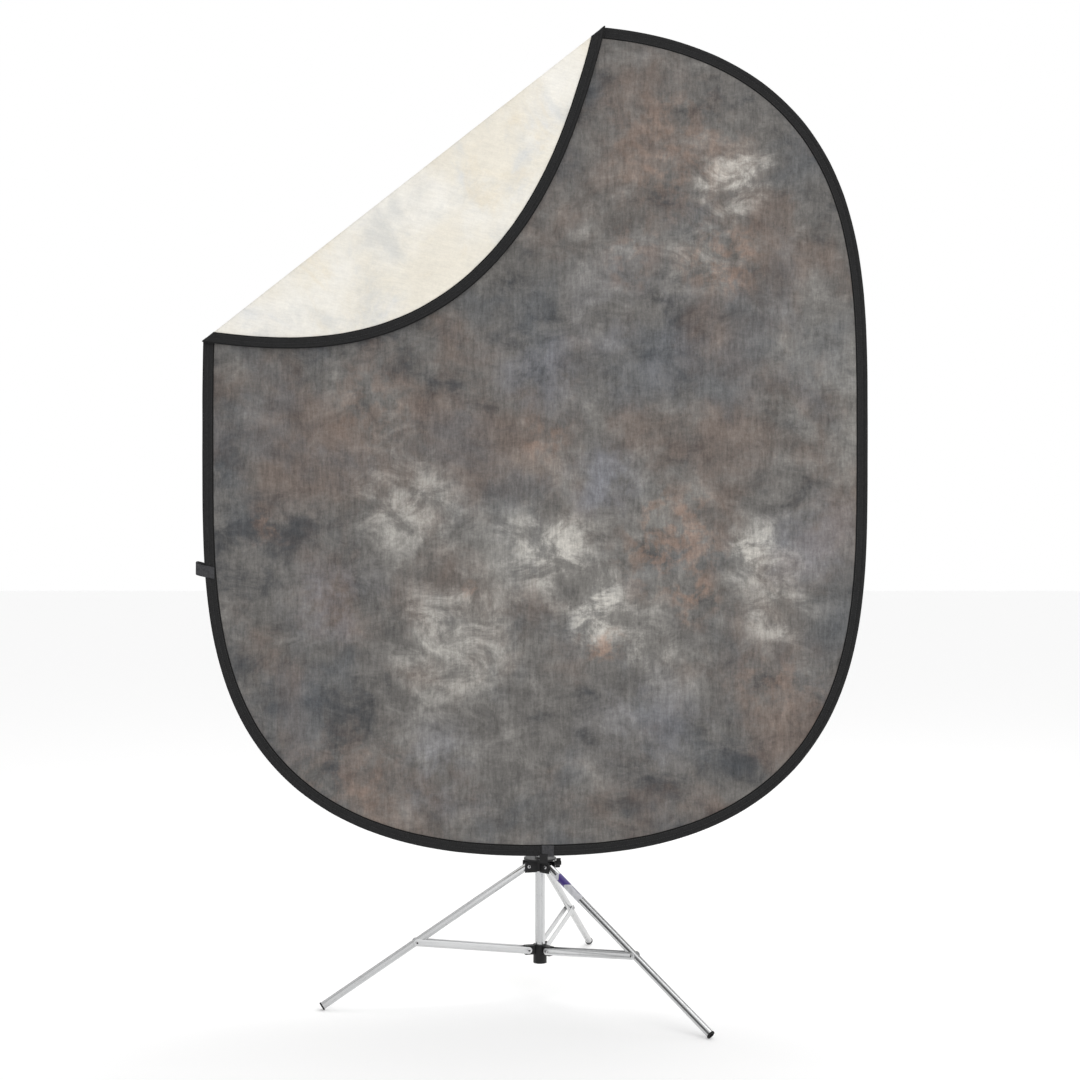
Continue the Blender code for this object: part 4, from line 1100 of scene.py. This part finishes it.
def dressColumn():
    for node in ("column_tube", "second_section", "third_section"):
        refine(node, tubeSilver, standEdges["tube"], 1, origin=standAxis)
    refine("top_stud", rivetBright, standEdges["steel"], 2, origin=standAxis)
    for node in ("lower_spider", "leg_collar", "lock_collar_1", "lock_collar_2", "rest_head"):
        refine(node, mouldedBlack, standEdges["moulding"], 3, origin=standAxis)


def dressKnobs():
    for node in ("leg_knob", "lock_knob_1", "lock_knob_2", "head_knob"):
        turn = joints[node + "_turn"]
        refine(node, mouldedBlack, standEdges["knob"], 3)
        refine(node + "_screw", rivetBright, standEdges["steel"], 1, turn["axis"], turn["pos_m"])


def dressBrace(number, tag, brace):
    node = "brace_strip_%d%s" % (number, tag)
    rivet = "strip_rivet_%d%s" % (number, tag)
    pivotLine = Vector(brace["axis"])
    run = middleOf(node) - Vector(brace["pos_m"])
    run -= pivotLine * run.dot(pivotLine)
    refine(node, stripSilver, standEdges["strip"], 2, run, brace["pos_m"])
    refine(rivet, rivetHollow, standEdges["steel"], 2, brace["axis"], middleOf(rivet))


def dressLeg(number):
    pivot, way = legWay(number)
    leg, brace = joints["leg_%d_fold" % number], joints["brace_%d_fold" % number]
    topRivet, lowerRivet = "top_rivet_%d" % number, "lower_rivet_%d" % number
    refine("leg_tube_%d" % number, tubeSilver, standEdges["tube"], 1, way, pivot)
    refine("foot_cap_%d" % number, rubberBlack, standEdges["soft"], 3, way, pivot)
    for tag in "ab":
        dressBrace(number, tag, brace)
    refine(topRivet, rivetHollow, standEdges["steel"], 2, leg["axis"], middleOf(topRivet))
    refine(lowerRivet, rivetHollow, standEdges["steel"], 2, brace["axis"], middleOf(lowerRivet))


dressColumn()
dressKnobs()
refine("grip_pad", padFuzz, standEdges["soft"], 2)
for number in (1, 2, 3):
    dressLeg(number)
labelPivot, labelWay = legWay(2)
refine("leg_label", labelFilm, 0.0, 1, labelWay, labelPivot)
for node in ("spring_hoop", "flap_hoop", "hoop_ferrule"):
    refine(node, springSteel, standEdges["tube"], 1)
print("stand parts dressed")


# floor, light and camera

floorPaint = {"size": 60, "paint": (0.90, 0.90, 0.90), "glow": 0.20, "roughness": 0.9}


def makeStage():
    bpy.ops.object.select_all(action="DESELECT")
    bpy.ops.mesh.primitive_plane_add(size=floorPaint["size"], location=(0, 0, 0))
    floor = bpy.context.object
    floor.name = "paleFloor"
    material, tree, shader = startMaterial("paleFloorPaint")
    shader.inputs["Base Color"].default_value = rgb(floorPaint["paint"])
    shader.inputs["Emission Color"].default_value = (1, 1, 1, 1)
    shader.inputs["Emission Strength"].default_value = floorPaint["glow"]
    shader.inputs["Roughness"].default_value = floorPaint["roughness"]
    shader.inputs["Specular IOR Level"].default_value = 0.0
    wear(floor, material)


# dark is where the room has less light, so that bright metal has something to mirror
room = {
    "dark": [{"way": (-0.86, -0.33, 0.30), "start": 0.60, "full": 0.92, "least": 0.13},
             {"way": (0.70, 0.71, 0.0), "start": 0.78, "full": 0.92, "least": 0.20},
             {"way": (-0.60, 0.80, 0.0), "start": 0.78, "full": 0.92, "least": 0.20},
             {"way": (0.20, -0.60, -0.77), "start": 0.80, "full": 0.97, "least": 0.35}],
    "lamps": [{"name": "frontSoftbox", "place": (1.9, -3.6, 2.6), "size": 2.2, "power": 22.0},
              {"name": "topSoftbox", "place": (0.6, 0.8, 4.2), "size": 3.2, "power": 40.0}],
    "aim": (0, 0, 0.9),
}


def makeRoom():
    world = bpy.data.worlds.new("softRoom")
    bpy.context.scene.world = world
    world.use_nodes = True
    tree = world.node_tree
    background = tree.nodes["Background"]
    way = put(tree, "ShaderNodeTexCoord").outputs["Generated"]
    dim = 1.0
    for patch in room["dark"]:
        near = vectorMaths(tree, "DOT_PRODUCT", way, patch["way"], "Value")
        dim = times(tree, dim, remap(tree, near, patch["start"], patch["full"], 1.0, patch["least"]))
    seen = put(tree, "ShaderNodeLightPath").outputs["Is Camera Ray"]
    level = put(tree, "ShaderNodeMix", {"data_type": "FLOAT"}, i0=seen, i2=dim, i3=1.0).outputs[0]
    tree.links.new(level, background.inputs["Strength"])
    background.inputs["Color"].default_value = (1, 1, 1, 1)


def makeLamps():
    for lamp in room["lamps"]:
        light = bpy.data.lights.new(lamp["name"], "AREA")
        light.energy = lamp["power"]
        light.size = lamp["size"]
        place = Vector(lamp["place"])
        obj = addObject(lamp["name"], light)
        obj.location = place
        obj.rotation_euler = (Vector(room["aim"]) - place).to_track_quat("-Z", "Y").to_euler()


view = {"lens": 56.88, "sensor": 36.0, "away": 3.799, "high": 1.011}


def makeCamera():
    lens = bpy.data.cameras.new("viewCamera")
    lens.lens = view["lens"]
    lens.sensor_width = view["sensor"]
    camera = addObject("viewCamera", lens)
    camera.location = (standAxis.x, standAxis.y - view["away"], view["high"])
    camera.rotation_euler = (math.radians(90), 0, 0)
    bpy.context.scene.camera = camera


makeStage()
makeRoom()
makeLamps()
makeCamera()
bpy.context.scene.view_settings.view_transform = "Standard"
print("stage set")
